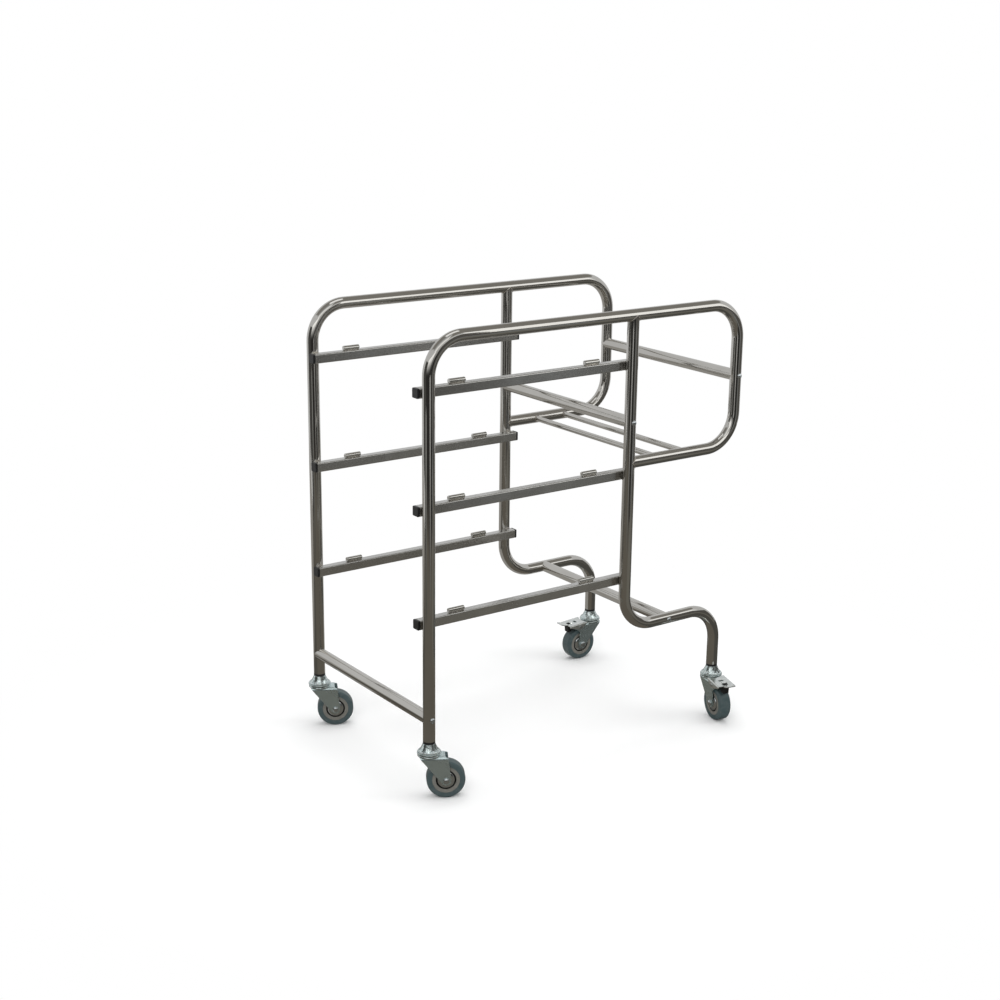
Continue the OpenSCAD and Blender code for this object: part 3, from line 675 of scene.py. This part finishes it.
crossTubes = {
    "front_cross_tube": (tubeRadius, upward),
    "upper_cross_tube": (tubeRadius, upward),
    "push_handle": (tubeRadius, upward),
    "step_cross_tube": (tubeRadius, along),
    "front_shelf_rod": (rodRadius, along),
    "rear_shelf_rod": (rodRadius, along),
}
for name, (radius, axis) in crossTubes.items():
    centre = middle(name)
    ends = [Vector((centre.x, sign * halfWidth, centre.z)) for sign in (-1, 1)]
    joins = [(ends[0], axis, across), (ends[1], axis, -across)]
    makeTube(name, ends, radius, joins)
    if radius == rodRadius:
        weldRings += [(radius, *join) for join in joins]
print("tubes made")

runnerSizes = {"Size": 20 * mm, "Corner": 2.4 * mm, "Corner Steps": 5, "Finish": runnerSteel}
capSizes = {"length": 5, "rounding": 1.2, "corner": 2.4}  # in mm
stopSizes = {"diameter": 10, "length": 38, "chamfer": 1, "easing": 0.3, "firstX": 80, "pitch": 335}  # in mm
capPoints, capTurns, stopPoints, runnerBoxes = [], [], [], []
for side, sign in sideSigns.items():
    for level in levels:
        name = side + "_" + level + "_runner"
        low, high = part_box(name)
        centre = (low + high) / 2
        ends = [(low.x, centre.y, centre.z), (high.x, centre.y, centre.z)]
        bar = joined(name, [grow(name, [ends], squareBarTree, runnerSizes)], runnerSteel)
        addPiece("polished_" + name, bar, "frame", "stainless", name)
        runnerBoxes.append((sign, low, high))
        capPoints += ends
        capTurns += [(0, math.radians(-90), 0), (0, math.radians(90), 0)]
        for place in (0, 1):
            x = frontX + (stopSizes["firstX"] + place * stopSizes["pitch"]) * mm
            stopPoints.append((x, centre.y, high.z + stopSizes["diameter"] / 2 * mm))

toMetres = Matrix.Scale(mm, 4)


def setOut(name, mesh, points, turns, finish):
    piece = linkObject(name + "One", mesh)
    sizes = {"Piece": piece, "Finish": finish}
    result = grow(name, [[point] for point in points], setOutTree, sizes, turns=turns)
    discard(piece)
    return result


def capMesh(length, rounding, corner):
    half = runnerSizes["Size"] / mm / 2
    work = prism(rectangle(-half, half, -half, half, corner), 0, length)
    return hardMesh("cap", work, blackPlastic, rounding, 4, place=toMetres)


def stopMesh():
    radius, half, chamfer = stopSizes["diameter"] / 2, stopSizes["length"] / 2, stopSizes["chamfer"]
    easing = stopSizes["easing"] * chamfer
    end = [(radius, half - chamfer), (radius - easing, half - easing), (radius - chamfer, half), (0, half)]
    place = toMetres @ Matrix.Rotation(math.radians(90), 4, "Y")
    return hardMesh("stop", turned(mirrored(end), 32), stopSteel, place=place)


caps = setOut("runner_end_caps", capMesh(**capSizes), capPoints, capTurns, blackPlastic)
addPiece("moulded_runner_end_caps", caps, "frame", "black_plastic", "runner_end_caps")
stops = setOut("tray_stops", stopMesh(), stopPoints, [(0, 0, 0)] * len(stopPoints), stopSteel)
addPiece("welded_tray_stops", stops, "frame", "stainless", "tray_stops")
print("runners made:", len(capPoints), "caps,", len(stopPoints), "stops")

beadSizes = {
    "Ripple": 0.1, "Ripple Pitch": 2.4 * mm, "Step": 0.5 * mm, "Least": 0.05, "Around": 10,
    "Finish": weldSteel,
}
weldSizes = {
    "ringBead": 1.5 * mm, "ringPoints": 64, "legBead": 2.2 * mm, "legReach": 6.5 * mm,
    "stopBead": 0.9 * mm, "stopOffset": 2.2 * mm, "taper": 0.4,
    "stopShare": 0.95,  # of the stop's length
}


# the line where a tube meets another tube's wall
def saddle(radius, centre, axis, out):
    sideways = axis.cross(out)
    line = []
    for step in range(weldSizes["ringPoints"]):
        turn = math.tau * step / weldSizes["ringPoints"]
        offset = radius * math.sin(turn)
        wall = math.sqrt(max(tubeRadius ** 2 - offset ** 2, 0))
        line.append(centre + axis * radius * math.cos(turn) + sideways * offset + out * wall)
    return line


def makeWelds(name, lines, bead, closed):
    sizes = dict(beadSizes, Radius=bead, Taper=0.0 if closed else weldSizes["taper"])
    addPiece(name, grow(name, lines, weldTree, sizes, closed), "frame", "stainless")


# a straight bead along X
def beadLine(x, reach, y, z):
    return [(x - reach, y, z), (x + reach, y, z)]


legWelds, stopWelds = [], []
for sign, low, high in runnerBoxes:
    wallY = sign * (halfWidth - tubeRadius)
    for legX in (frontX, uprightX):
        legWelds += [beadLine(legX, weldSizes["legReach"], wallY, edgeZ) for edgeZ in (low.z, high.z)]
for x, y, z in stopPoints:
    reach, rest = weldSizes["stopShare"] * stopSizes["length"] / 2 * mm, z - stopSizes["diameter"] / 2 * mm
    stopWelds += [beadLine(x, reach, y + edge * weldSizes["stopOffset"], rest) for edge in (-1, 1)]
makeWelds("tube_welds", [saddle(*ring) for ring in weldRings], weldSizes["ringBead"], True)
makeWelds("runner_welds", legWelds, weldSizes["legBead"], False)
makeWelds("stop_welds", stopWelds, weldSizes["stopBead"], False)
print("welds made")

# in mm, but for the angle at which the head's dome goes flat
boltSizes = {
    "head": 12, "rise": 3.8, "domeEnd": 75, "socket": 4.6, "socketDepth": 1.9, "shank": 6,
    "shankLength": 40, "edge": 0.15,
}


def hexagon(radius):
    return arc((0, 0), radius, 0, 300, 5)


def boltMesh(head, rise, domeEnd, socket, socketDepth, shank, shankLength, edge):
    top = dome(head / 2, rise, 5, domeEnd)
    profile = [(0, -shankLength), (shank / 2, -shankLength), (shank / 2, 0), *top, (0, top[-1][1])]
    cuts = [("DIFFERENCE", prism(hexagon(socket / 2), rise - socketDepth, rise + 1))]
    return hardMesh("bolt", turned(profile, 40), brightZinc, edge, 2, cuts, toMetres)


boltPoints, boltTurns = [], []
for name in ("front_cross_tube", "upper_cross_tube", "step_cross_tube", "push_handle"):
    for sign in (-1, 1):
        centre = middle(name)
        boltPoints.append((centre.x, sign * (halfWidth + tubeRadius), centre.z))
        boltTurns.append((math.radians(-90 * sign), 0, 0))
bolts = setOut("cross_tube_bolts", boltMesh(**boltSizes), boltPoints, boltTurns, brightZinc)
addPiece("button_head_bolts", bolts, "frame", "zinc", "cross_tube_bolts")
print("bolts made:", len(boltPoints))

# casters are made once in mm, with the stem on Z and the trail along X, and then put at each corner
caster = {
    "trail": 34, "wheelRadius": 40, "wheelWidth": 27, "crownZ": 91, "crownTop": 93.5, "rimZ": 96.9,
    "collarTop": 117.9, "legEnd": 122.9,
}
headSizes = {
    "radius": 25, "stem": 5.5, "kingpin": 5, "roof": 98.9, "skirt": 2.5, "innerEdge": 0.4, "outerEdge": 0.6,
    "stemRise": 20,  # into the leg
    "rivet": ((0, -3.7), (4, -3.6), (7, -2.7), (8, -1.5), (8, -0.3)),  # radius, height from the fork's crown
    "bead": 1.2,
    "beads": ((1.2, 1.4, 0, 120), (2.5, 3.7, -30, 120)),  # inset, height from the rim, first and last angle
    "bell": ((21, 5), (20.6, 5.6), (18.4, 8.6), (16.6, 11.8), (15, 15.2), (13.7, 18.4), (12.7, 20.4)),
}


def headMesh(radius, stem, stemRise, kingpin, rivet, roof, skirt, innerEdge, outerEdge, bead, beads, bell):
    rim, inner = caster["rimZ"], radius - skirt
    collarTop, stemTop = caster["collarTop"], caster["legEnd"] + stemRise
    profile = [(r, caster["crownZ"] + z) for r, z in rivet]
    profile += [(kingpin, profile[-1][1]), (kingpin, roof), (inner, roof), (inner, rim + innerEdge)]
    profile += [(inner + innerEdge, rim), (radius - outerEdge, rim), (radius, rim + outerEdge)]
    for inset, height, first, last in beads:
        profile += arc((radius - inset, rim + height), bead, first, last, 6)
    profile += [(r, rim + z) for r, z in bell]
    profile += [(profile[-1][0], collarTop), (stem, collarTop), (stem, stemTop), (0, stemTop)]
    return hardMesh("head", turned(profile, 72), headZinc)


socketSizes = {"bore": 5.6, "flange": 12.7, "plug": 11.4, "plugLength": 18, "rounding": 0.6}


def socketMesh(bore, flange, plug, plugLength, rounding):
    low, top = caster["collarTop"], caster["legEnd"]
    end = top + plugLength
    square = [(flange, top), (plug, top), (plug, end), (bore, end), (bore, low)]
    outline = eased([(flange, low, rounding)] + [(r, z, 0) for r, z in square])
    return hardMesh("socket", turned(outline, 48), blackPlastic)


forkSizes = {
    "outer": 19, "wall": 2.5, "outerBend": 8, "innerBend": 5.5, "foot": 20,
    "ends": (-30, 60),  # of the channel before its sides are cut to shape
    "room": 30,  # half width of the shape that cuts it
    "disc": 21, "discInset": 0.05, "front": -20, "bridge": 27, "rear": 39, "rearFall": 5, "hubEnd": 10,
    "pin": (43, 87.5), "ear": 5.7, "earRoot": (39, 63.5), "earEnd": (58, 86), "earEndDepth": 3,
    "arch": 24, "edge": 0.5,
}


# the ear round the brake pin and its arm, arched over the tyre, from the leg's rear edge to the bridge
def earOutline(legEdge):
    pin, root, end = Vector(forkSizes["pin"]), Vector(forkSizes["earRoot"]), Vector(forkSizes["earEnd"])
    low = end - Vector((0, forkSizes["earEndDepth"]))
    half = (low - root) / 2
    rise = math.sqrt(forkSizes["arch"] ** 2 - half.length_squared)
    centre = root + half + Vector((half.y, -half.x)).normalized() * rise
    first, last = (math.degrees(math.atan2(point.y - centre.y, point.x - centre.x)) for point in (root, low))
    lower, upper = legEdge
    outline = []
    for x, z in arc(centre, forkSizes["arch"], first, last, 24):
        edge = lower[0] + (upper[0] - lower[0]) * (z - lower[1]) / (upper[1] - lower[1])
        if x > edge:
            outline.append((x, z))
    away = math.degrees(math.atan2(end.y - pin.y, end.x - pin.x))
    over = touchAngle((forkSizes["bridge"], caster["crownTop"]), pin, forkSizes["ear"], -1)
    return outline + [tuple(end)] + arc(pin, forkSizes["ear"], away, over, 14)


def forkOutline(braked):
    hub = (caster["trail"], caster["wheelRadius"])
    front = (forkSizes["front"], caster["crownZ"])
    rear = (forkSizes["rear"], caster["crownTop"] - forkSizes["rearFall"])
    outline = [(forkSizes["front"] + forkSizes["wall"], caster["crownTop"]), front]
    outline += roundEnd(front, hub, forkSizes["hubEnd"], rear, 24)
    outline += earOutline((outline[-1], rear)) if braked else [rear]
    outline.append((forkSizes["bridge"], caster["crownTop"]))
    return outline


def forkMesh(braked):
    crown, top, inset = caster["crownZ"], caster["crownTop"], forkSizes["discInset"]
    channel = prism(foldedSection(forkSizes, forkSizes["wall"], top), *forkSizes["ends"], "endOn")
    sides = prism(forkOutline(braked), -forkSizes["room"], forkSizes["room"], "sideOn")
    plates = hardMesh("plates", channel, forkZinc, forkSizes["edge"], 2, [("INTERSECT", sides)])
    disc = cylinder(forkSizes["disc"], crown + inset, top - inset, 72)
    return joined("fork", (plates, hardMesh("crown", disc, forkZinc)), forkZinc)


raceSizes = {
    "radius": 24.3, "bore": 17, "low": -0.1, "top": 2.6,
    # inset from the radius and height from the fork's crown
    "edge": (
        (0.9, -0.1), (0.2, 0.5), (0, 1.4), (0.2, 2.4), (0.7, 3.5), (1.6, 4.3), (2.6, 4.4), (4, 3.9), (5.4, 3),
    ),
}


# raised edge of the lower ball race, pressed into the fork's crown just below the head
def raceMesh(radius, bore, low, top, edge):
    section = [(bore, low), *((radius - inset, z) for inset, z in edge), (bore, top)]
    profile = [(r, caster["crownZ"] + z) for r, z in section]
    return hardMesh("race", turned(profile, 72), headZinc)


onSide = Matrix.Rotation(math.radians(90), 4, "X")
toAxle = Matrix.Translation((caster["trail"], 0, caster["wheelRadius"])) @ onSide
nutSizes = {"radius": 7.2, "rise": 4, "face": 5.2, "chamfer": 0.45, "room": 0.2, "edge": 0.2}


# a hexagon cut from the bar by the shape that a lathe would leave; chamfer is a share of its height
def nutMesh(out, radius, rise, face, chamfer, room, edge):
    end, wide, back = -out - rise, radius + room, room - out
    lathed = turned([(0, end), (face, end), (wide, end + rise * chamfer), (wide, back), (0, back)], 48)
    return hardMesh("nut", prism(hexagon(radius), end, -out), brightZinc, edge, 2, [("INTERSECT", lathed)])


axleSizes = {
    "shank": 4, "head": 6.5, "skirt": 1, "out": 19, "rise": 4.8,
    "threadEnd": ((0, 0), (0.5, 0.2), (0.85, 0.6), (1, 1.2)),  # share of the shank, height from the end
}


# axle bolt with a domed head on one side and the nut on the other
def axleMesh(shank, head, skirt, out, rise, threadEnd):
    profile = [(shank * share, height - out - rise) for share, height in threadEnd]
    profile += [(shank, out), (head, out)]
    profile += [(r, out + skirt + z) for r, z in dome(head, rise - skirt, 8)]
    bolt = hardMesh("bolt", turned(profile, 40), brightZinc)
    return joined("axle", (bolt, nutMesh(out, **nutSizes)), brightZinc, toAxle)


guardSizes = {"bore": 6.05, "radius": 18, "edge": 11.8, "sheet": 1.1, "outside": 16.2}


# thread guards, domed caps that sink into the core's recess on both sides
def guardMesh(bore, radius, edge, sheet, outside):
    skin = [(bore + r, edge + z) for r, z in dome(radius - bore, outside - edge, 12)]
    under = [(r, z - sheet) for r, z in reversed(skin)]
    work = bmesh.new()
    for sign in (-1, 1):
        turned([(r, sign * z) for r, z in skin + under], 56, work)
    return hardMesh("guards", work, brightZinc, place=toAxle)


coreSizes = {
    "bore": 6.05, "boss": 11, "bossWidth": 14.7, "recess": 21, "web": 6.5, "rim": 28.5, "rimWidth": 13,
    "lip": 0.3, "edge": 0.8, "hollow": 1.2,
    "paintedShadeEdge": 0.1,  # the painted shade in the recess starts this far outside its wall
    "paintedShadeDepth": 1,  # and this far below the rim
}


def coreMesh(bore, boss, bossWidth, recess, web, rim, rimWidth, lip, edge, hollow, paintedShadeEdge, paintedShadeDepth):
    half = [(rim, rimWidth, lip), (recess, rimWidth, edge), (recess, web, hollow)]
    half += [(boss, web, hollow), (boss, bossWidth, edge), (bore, bossWidth, lip)]
    mesh = hardMesh("core", turned(eased(mirrored(half), 4), 64), corePlastic)
    places = [vertex.co for vertex in mesh.vertices]
    # painted shade: points inside the recess and below the rim's faces are marked, so the plastic there turns
    # near black like its shadow
    reach, face = recess + paintedShadeEdge, rimWidth - paintedShadeDepth
    inside = [float(place.xy.length < reach and abs(place.z) < face) for place in places]
    mesh.attributes.new("recess", "FLOAT", "POINT").data.foreach_set("value", inside)
    mesh.transform(toAxle)
    return mesh


tyreSizes = {"inner": 28.55, "shoulder": 4, "lip": 0.6}


def tyreMesh(inner, shoulder, lip):
    side = caster["wheelWidth"] / 2
    half = [(caster["wheelRadius"], side, shoulder), (inner, side, lip)]
    return hardMesh("tyre", turned(eased(mirrored(half), 10), 96), tyreRubber, place=toAxle)


toPin = Matrix.Translation((forkSizes["pin"][0], 0, forkSizes["pin"][1]))


# turns brake pieces about their pin
def aboutPin(angle):
    return toPin @ Matrix.Rotation(math.radians(angle), 4, "Y") @ toPin.inverted()


pedalSizes = {
    "plate": 94, "tilt": 5, "thickness": 2, "outer": 21.3, "outerBend": 3, "innerBend": 1, "foot": 60,
    "flare": 0.16,  # outward lean of the folded sides
    "ends": (-10, 90),  # of the channel before its sides are cut to shape
    "room": 40,  # half width of the shape that cuts it
    "clear": 3,  # by which cuts pass the plate
    "headRoom": 26.5, "nose": 21.5, "noseDepth": 3, "end": 72, "endDepth": 5, "cheek": 6,
    "windows": (45, 65), "windowSize": (6, 12), "windowCorner": 1, "edge": 0.4,
}


def plateMesh():
    low, top, clear = pedalSizes["plate"], pedalSizes["plate"] + pedalSizes["thickness"], pedalSizes["clear"]
    lean = (top - pedalSizes["foot"]) * pedalSizes["flare"]
    section = foldedSection(pedalSizes, pedalSizes["thickness"], top, lean)
    front = (pedalSizes["nose"], top - pedalSizes["noseDepth"])
    rear = (pedalSizes["end"], top - pedalSizes["endDepth"])
    cheek = roundEnd(front, forkSizes["pin"], pedalSizes["cheek"], rear, 12)
    outline = [(pedalSizes["nose"], top + clear), front, *cheek, rear, (pedalSizes["end"], top + clear)]
    cuts = [("INTERSECT", prism(outline, -pedalSizes["room"], pedalSizes["room"], "sideOn"))]
    cuts.append(("DIFFERENCE", cylinder(pedalSizes["headRoom"], low - clear, top + clear, 96)))
    length, width = (size / 2 for size in pedalSizes["windowSize"])
    for x in pedalSizes["windows"]:
        window = rectangle(x - length, x + length, -width, width, pedalSizes["windowCorner"])
        cuts.append(("DIFFERENCE", prism(window, low - clear, top + clear)))
    channel = prism(section, *pedalSizes["ends"], "endOn")
    return hardMesh("plate", channel, pedalZinc, pedalSizes["edge"], 2, cuts)


tongueSizes = {"length": 23, "root": 10, "half": 15.5, "corner": 7, "slope": 18, "rise": 0.4}


# flat end of the pedal, where the foot presses
def tongueMesh(length, root, half, corner, slope, rise):
    thickness = pedalSizes["thickness"]
    outline = eased([(0, -root, 0), (length, -half, corner), (length, half, corner), (0, root, 0)], 8)
    lift = Matrix.Translation((pedalSizes["end"] - thickness, 0, pedalSizes["plate"] + rise))
    place = lift @ Matrix.Rotation(math.radians(-slope), 4, "Y")
    return hardMesh("tongue", prism(outline, 0, thickness), pedalZinc, pedalSizes["edge"], 2, (), place)


strapSizes = {"at": 57, "length": 5, "half": 8, "rise": 3.4, "run": 2.5, "dip": 1.6, "root": 0.5, "edge": 0.5}


# strap pressed up out of the plate
def strapMesh(at, length, half, rise, run, dip, root, edge):
    top = pedalSizes["plate"] + pedalSizes["thickness"]
    foot, ridge = top - root, top + rise
    hump = [(-half, foot), (run - half, ridge), (0, ridge - dip), (half - run, ridge), (half, foot)]
    return hardMesh("strap", prism(hump, at, at + length, "endOn"), pedalZinc, edge, 2)


def pedalMesh():
    pieces = plateMesh(), tongueMesh(**tongueSizes), strapMesh(**strapSizes)
    return joined("pedal", pieces, pedalZinc, aboutPin(pedalSizes["tilt"]))


# the head is radius and height, outside the pedal's sides
pinSizes = {"at": 22.6, "shank": 2.5, "head": ((4, 0), (3.8, 0.7), (2.8, 1.3), (0, 1.5))}


def pinMesh(at, shank, head):
    half = [(shank, at), *((r, at + z) for r, z in head)]
    return hardMesh("pin", turned(mirrored(half), 32), brightZinc, place=toPin @ onSide)


shoeSizes = {"front": 60, "length": 11, "half": 7.5, "depth": 18, "press": 12, "gap": 0.5, "edge": 1.0}


# rubber block hollowed to the tyre as it meets it when the pedal is down
def shoeMesh(front, length, half, depth, press, gap, edge):
    top, room = pedalSizes["plate"], 2 * caster["wheelWidth"]
    block = prism(rectangle(front, front + length, -half, half), top - depth, top)
    block.transform(aboutPin(pedalSizes["tilt"]))
    hollow = cylinder(caster["wheelRadius"] + gap, -room, room, 128)
    hollow.transform(aboutPin(-press) @ toAxle)
    return hardMesh("shoe", block, brakeRubber, edge, 3, [("DIFFERENCE", hollow)])


def cornerMatrix(corner):
    stem, hub = (Vector(joints[corner + kind]["pos_m"]) for kind in ("_swivel", "_roll"))
    turn = math.atan2(hub.y - stem.y, hub.x - stem.x)
    return Matrix.Translation((stem.x, stem.y, 0)) @ Matrix.Rotation(turn, 4, "Z") @ toMetres


forks = {True: forkMesh(True), False: forkMesh(False)}
commonPieces = {
    "head": (headMesh(**headSizes), "frame", "zinc", "pressed_"),
    "race_edge": (raceMesh(**raceSizes), "caster", "zinc", "pressed_"),
    "axle": (axleMesh(**axleSizes), "caster", "zinc", "bolted_"),
    "thread_guards": (guardMesh(**guardSizes), "caster", "zinc", "dished_"),
    "wheel_core": (coreMesh(**coreSizes), "wheel", "wheel_core", "moulded_"),
    "tyre": (tyreMesh(**tyreSizes), "wheel", "tyre", "rounded_"),
}
brakePieces = {
    "brake_pedal": (pedalMesh(), "brake", "zinc", "folded_"),
    "brake_pin": (pinMesh(**pinSizes), "caster", "zinc", "riveted_"),
    "brake_shoe": (shoeMesh(**shoeSizes), "brake", "brake_rubber", "hollowed_"),
}
sockets, socketOne = bmesh.new(), socketMesh(**socketSizes)
for corner in corners:
    place, braked = cornerMatrix(corner), corner in brakedCorners
    pieces = dict(commonPieces, fork=(forks[braked], "caster", "zinc", "folded_"))
    if braked:
        pieces.update(brakePieces)
    for part, (mesh, owner, slotName, finish) in pieces.items():
        node = corner + "_" + part
        copy = mesh.copy()
        copy.transform(place)
        body = "frame" if owner == "frame" else corner + "_" + owner
        addPiece(finish + node, copy, body, slotName, *([node] if node in frame["nodes"] else []))
    copy = socketOne.copy()
    copy.transform(place)
    sockets.from_mesh(copy)
    bpy.data.meshes.remove(copy)
socketMeshes = hardMesh("sockets", sockets, blackPlastic)
addPiece("moulded_caster_sockets", socketMeshes, "frame", "black_plastic", "caster_sockets")

# solids that are hidden deep inside keep their own shape
for node in ["cross_tube_plugs"] + [corner + part for corner in corners for part in ("_race_balls", "_bush")]:
    inner = frame["nodes"][node].data
    inner.materials.clear()
    inner.materials.append(brightZinc)
print("casters made")

studio = {
    "background": (1, 1, 1, 1), "fill": (0.965, 0.97, 0.97, 1), "fillPower": 0.66,
    "floorTone": (0.96, 0.96, 0.96, 1), "floorRoughness": 0.9, "floorSize": 8,
    "aim": (0, 0, 0.45),
    "clearFrom": 0.5, "clearTo": 1.2,  # distances between which the floor fades into the background
}


def makeWorld():
    world = bpy.data.worlds.new("studio")
    world.use_nodes = True
    scene.world = world
    tree = world.node_tree
    tree.nodes.clear()
    seen = addNode(tree, "ShaderNodeLightPath").outputs["Is Camera Ray"]
    fill = addNode(tree, "ShaderNodeBackground", {"Color": studio["fill"], "Strength": studio["fillPower"]})
    white = addNode(tree, "ShaderNodeBackground", {"Color": studio["background"], "Strength": 1.0})
    mix = addNode(tree, "ShaderNodeMixShader", {0: seen, 1: fill.outputs[0], 2: white.outputs[0]})
    addNode(tree, "ShaderNodeOutputWorld", {"Surface": mix.outputs[0]})


def stageObject(name, points, material):
    mesh = bpy.data.meshes.new(name)
    mesh.from_pydata(points, [], [tuple(range(len(points)))])
    mesh.materials.append(material)
    obj = linkObject(name, mesh)
    return obj


squareEnds = ((-1, -1), (1, -1), (1, 1), (-1, 1))


def makeFloor():
    material, tree, shader = startMaterial("floorPaper", 0.0)
    place = addNode(tree, "ShaderNodeTexCoord").outputs["Object"]
    away = addNode(tree, "ShaderNodeVectorMath", {0: place}, operation="LENGTH").outputs["Value"]
    seen = addNode(tree, "ShaderNodeLightPath").outputs["Is Camera Ray"]
    clear = mathNode(tree, "MULTIPLY", smoothStep(tree, away, studio["clearFrom"], studio["clearTo"]), seen)
    setInputs(tree, shader, {"Base Color": studio["floorTone"], "Roughness": studio["floorRoughness"]})
    white = addNode(tree, "ShaderNodeEmission", {"Color": studio["background"], "Strength": 1.0})
    mix = addNode(tree, "ShaderNodeMixShader", {0: clear, 1: shader.outputs[0], 2: white.outputs[0]})
    tree.links.new(mix.outputs[0], tree.nodes["Material Output"].inputs["Surface"])
    half = studio["floorSize"] / 2
    floor = stageObject("floor", [(x * half, y * half, 0) for x, y in squareEnds], material)
    floor.visible_glossy = False


# cards that only the metal sees, as the dark and pale surfaces round a studio table
darkTone, wallTone, tableTone = (0.032, 0.031, 0.029), (0.1, 0.096, 0.088), (0.14, 0.128, 0.107)
up, down, fromCamera = (0, 0, 1), (0, 0, -1), (0.586, 0.81, 0)
# tone, centre, size and face of each card, and the tone of its upper edge where that differs
cards = {
    "frontLeftFloor": (tableTone, (-0.9, -0.6, -0.004), (2.5, 1.6), up),
    "frontLeftFade": ((0.05, 0.048, 0.044), (-0.9, -1.8, -0.0045), (2.5, 0.8), up, tableTone),
    "leftFloor": ((0.1, 0.095, 0.083), (-1.45, 0.35, -0.003), (1.9, 0.5), up),
    "rightFloor": ((0.085, 0.083, 0.075), (1.4, -0.7, -0.003), (2.1, 2.0), up),
    "frontRightFloor": ((0.17, 0.163, 0.142), (0.9, -1.3, -0.002), (1.6, 1.1), up),
    "farRightFloor": ((0.23, 0.235, 0.24), (1.5, -2.2, -0.0025), (1.4, 0.5), up),
    "backFloor": ((0.36, 0.35, 0.33), (0, 1.45, -0.005), (4.6, 2.5), up),
    "farFrontFloor": (darkTone, (-0.4, -3.6, -0.006), (7, 4), up),
    "farLeftFloor": ((0.06, 0.058, 0.053), (-3.2, -0.9, -0.007), (2.4, 2.2), up),
    "ceiling": ((0.25, 0.24, 0.22), (0.4, -0.4, 2.7), (4.5, 4), down),
    "frontWall": (darkTone, (-1.9, -2.6, 0.27), (5.4, 0.54), fromCamera),
    "frontRightWall": ((0.025, 0.025, 0.024), (0.2, -3.1, 0.6), (1.0, 1.2), (-0.1, 1, 0)),
    "frontSky": (darkTone, (-2.79, -1.955, 1.64), (3.2, 2.2), fromCamera, (1.4, 1.4, 1.38)),
    "frontRightSky": (darkTone, (-0.604, -3.538, 1.64), (2.2, 2.2), fromCamera, (0.6, 0.6, 0.59)),
    "frontCeiling": ((0.3, 0.31, 0.31), (-0.95, -1.35, 2.65), (1.9, 2.0), down, (1.2, 1.2, 1.18)),
    "frontStripe": (
        (0.15, 0.145, 0.13), (-0.488, -1.372, 0.35), (0.38, 0.7), (0.467, 0.883, 0), (0.5, 0.5, 0.49),
    ),
    "rightStripe": (
        (0.18, 0.18, 0.17), (0.77, -1.35, 0.35), (0.26, 0.7), (-0.5, 0.865, 0), (0.24, 0.25, 0.25),
    ),
    "leftStripe": ((0.1, 0.1, 0.09), (-1.465, -0.451, 0.3), (0.36, 0.6), (0.99, 0.142, 0), (0.3, 0.3, 0.29)),
    "leftWall": ((0.07, 0.069, 0.064), (-2.97, 0.41, 1.0), (2.6, 2.0), (0.99, -0.137, 0)),
    "rightWall": (wallTone, (1.2, -2.9, 1.0), (2.9, 2.0), (-0.376, 0.926, 0)),
    "rearRightWall": (wallTone, (2.3, -1.33, 0.5), (2.1, 1.0), (-0.97, 0.24, 0)),
    "strip": ((1.25, 1.25, 1.23), (0.95, -1.05, 1.33), (1.3, 0.8), (0, 1, 0)),
    "topBox": ((1.1, 1.1, 1.1), (0, 0, 2.6), (0.9, 0.9), down),
}


def makeCard(name, tone, centre, size, face, topTone=None):
    material, tree, shader = startMaterial("card" + name, 0.0)
    lift = addNode(tree, "ShaderNodeAttribute", attribute_name="lift").outputs["Fac"]
    colour = mixNode(tree, smoothStep(tree, lift, 0.0, 1.0), tone, topTone or tone)
    glow = addNode(tree, "ShaderNodeEmission", {"Color": colour, "Strength": 1.0})
    tree.links.new(glow.outputs[0], tree.nodes["Material Output"].inputs["Surface"])
    tree.nodes.remove(shader)
    side = along if face in (up, down) else upward.cross(Vector(face)).normalized()
    rise = Vector(face).normalized().cross(side)
    width, height = (length / 2 for length in size)
    points = [Vector(centre) + side * u * width + rise * v * height for u, v in squareEnds]
    obj = stageObject("card_" + name, points, material)
    obj.data.attributes.new("lift", "FLOAT", "POINT").data.foreach_set("value", (0, 0, 1, 1))
    obj.visible_camera = obj.visible_diffuse = obj.visible_shadow = False
    obj.visible_transmission = obj.visible_volume_scatter = False


lamps = {
    "key": {"place": (-2.6, -2.2, 2.4), "size": 1.6, "power": 38},
    "overhead": {"place": (0.2, 0.2, 3.0), "size": 2.6, "power": 45},
    "side": {"place": (2.4, -1.8, 1.6), "size": 1.4, "power": 18},
}


# lamps light the trolley, while the metal sees only the cards
def makeLamp(name, lamp):
    light = bpy.data.lights.new(name, "AREA")
    light.energy, light.size = lamp["power"], lamp["size"]
    obj = linkObject(name, light)
    obj.location = lamp["place"]
    aim = Vector(studio["aim"]) - Vector(lamp["place"])
    obj.rotation_euler = aim.to_track_quat("-Z", "Y").to_euler()
    obj.visible_glossy = False


makeWorld()
makeFloor()
for name, card in cards.items():
    makeCard(name, *card)
for name, lamp in lamps.items():
    makeLamp(name, lamp)
print("studio made")
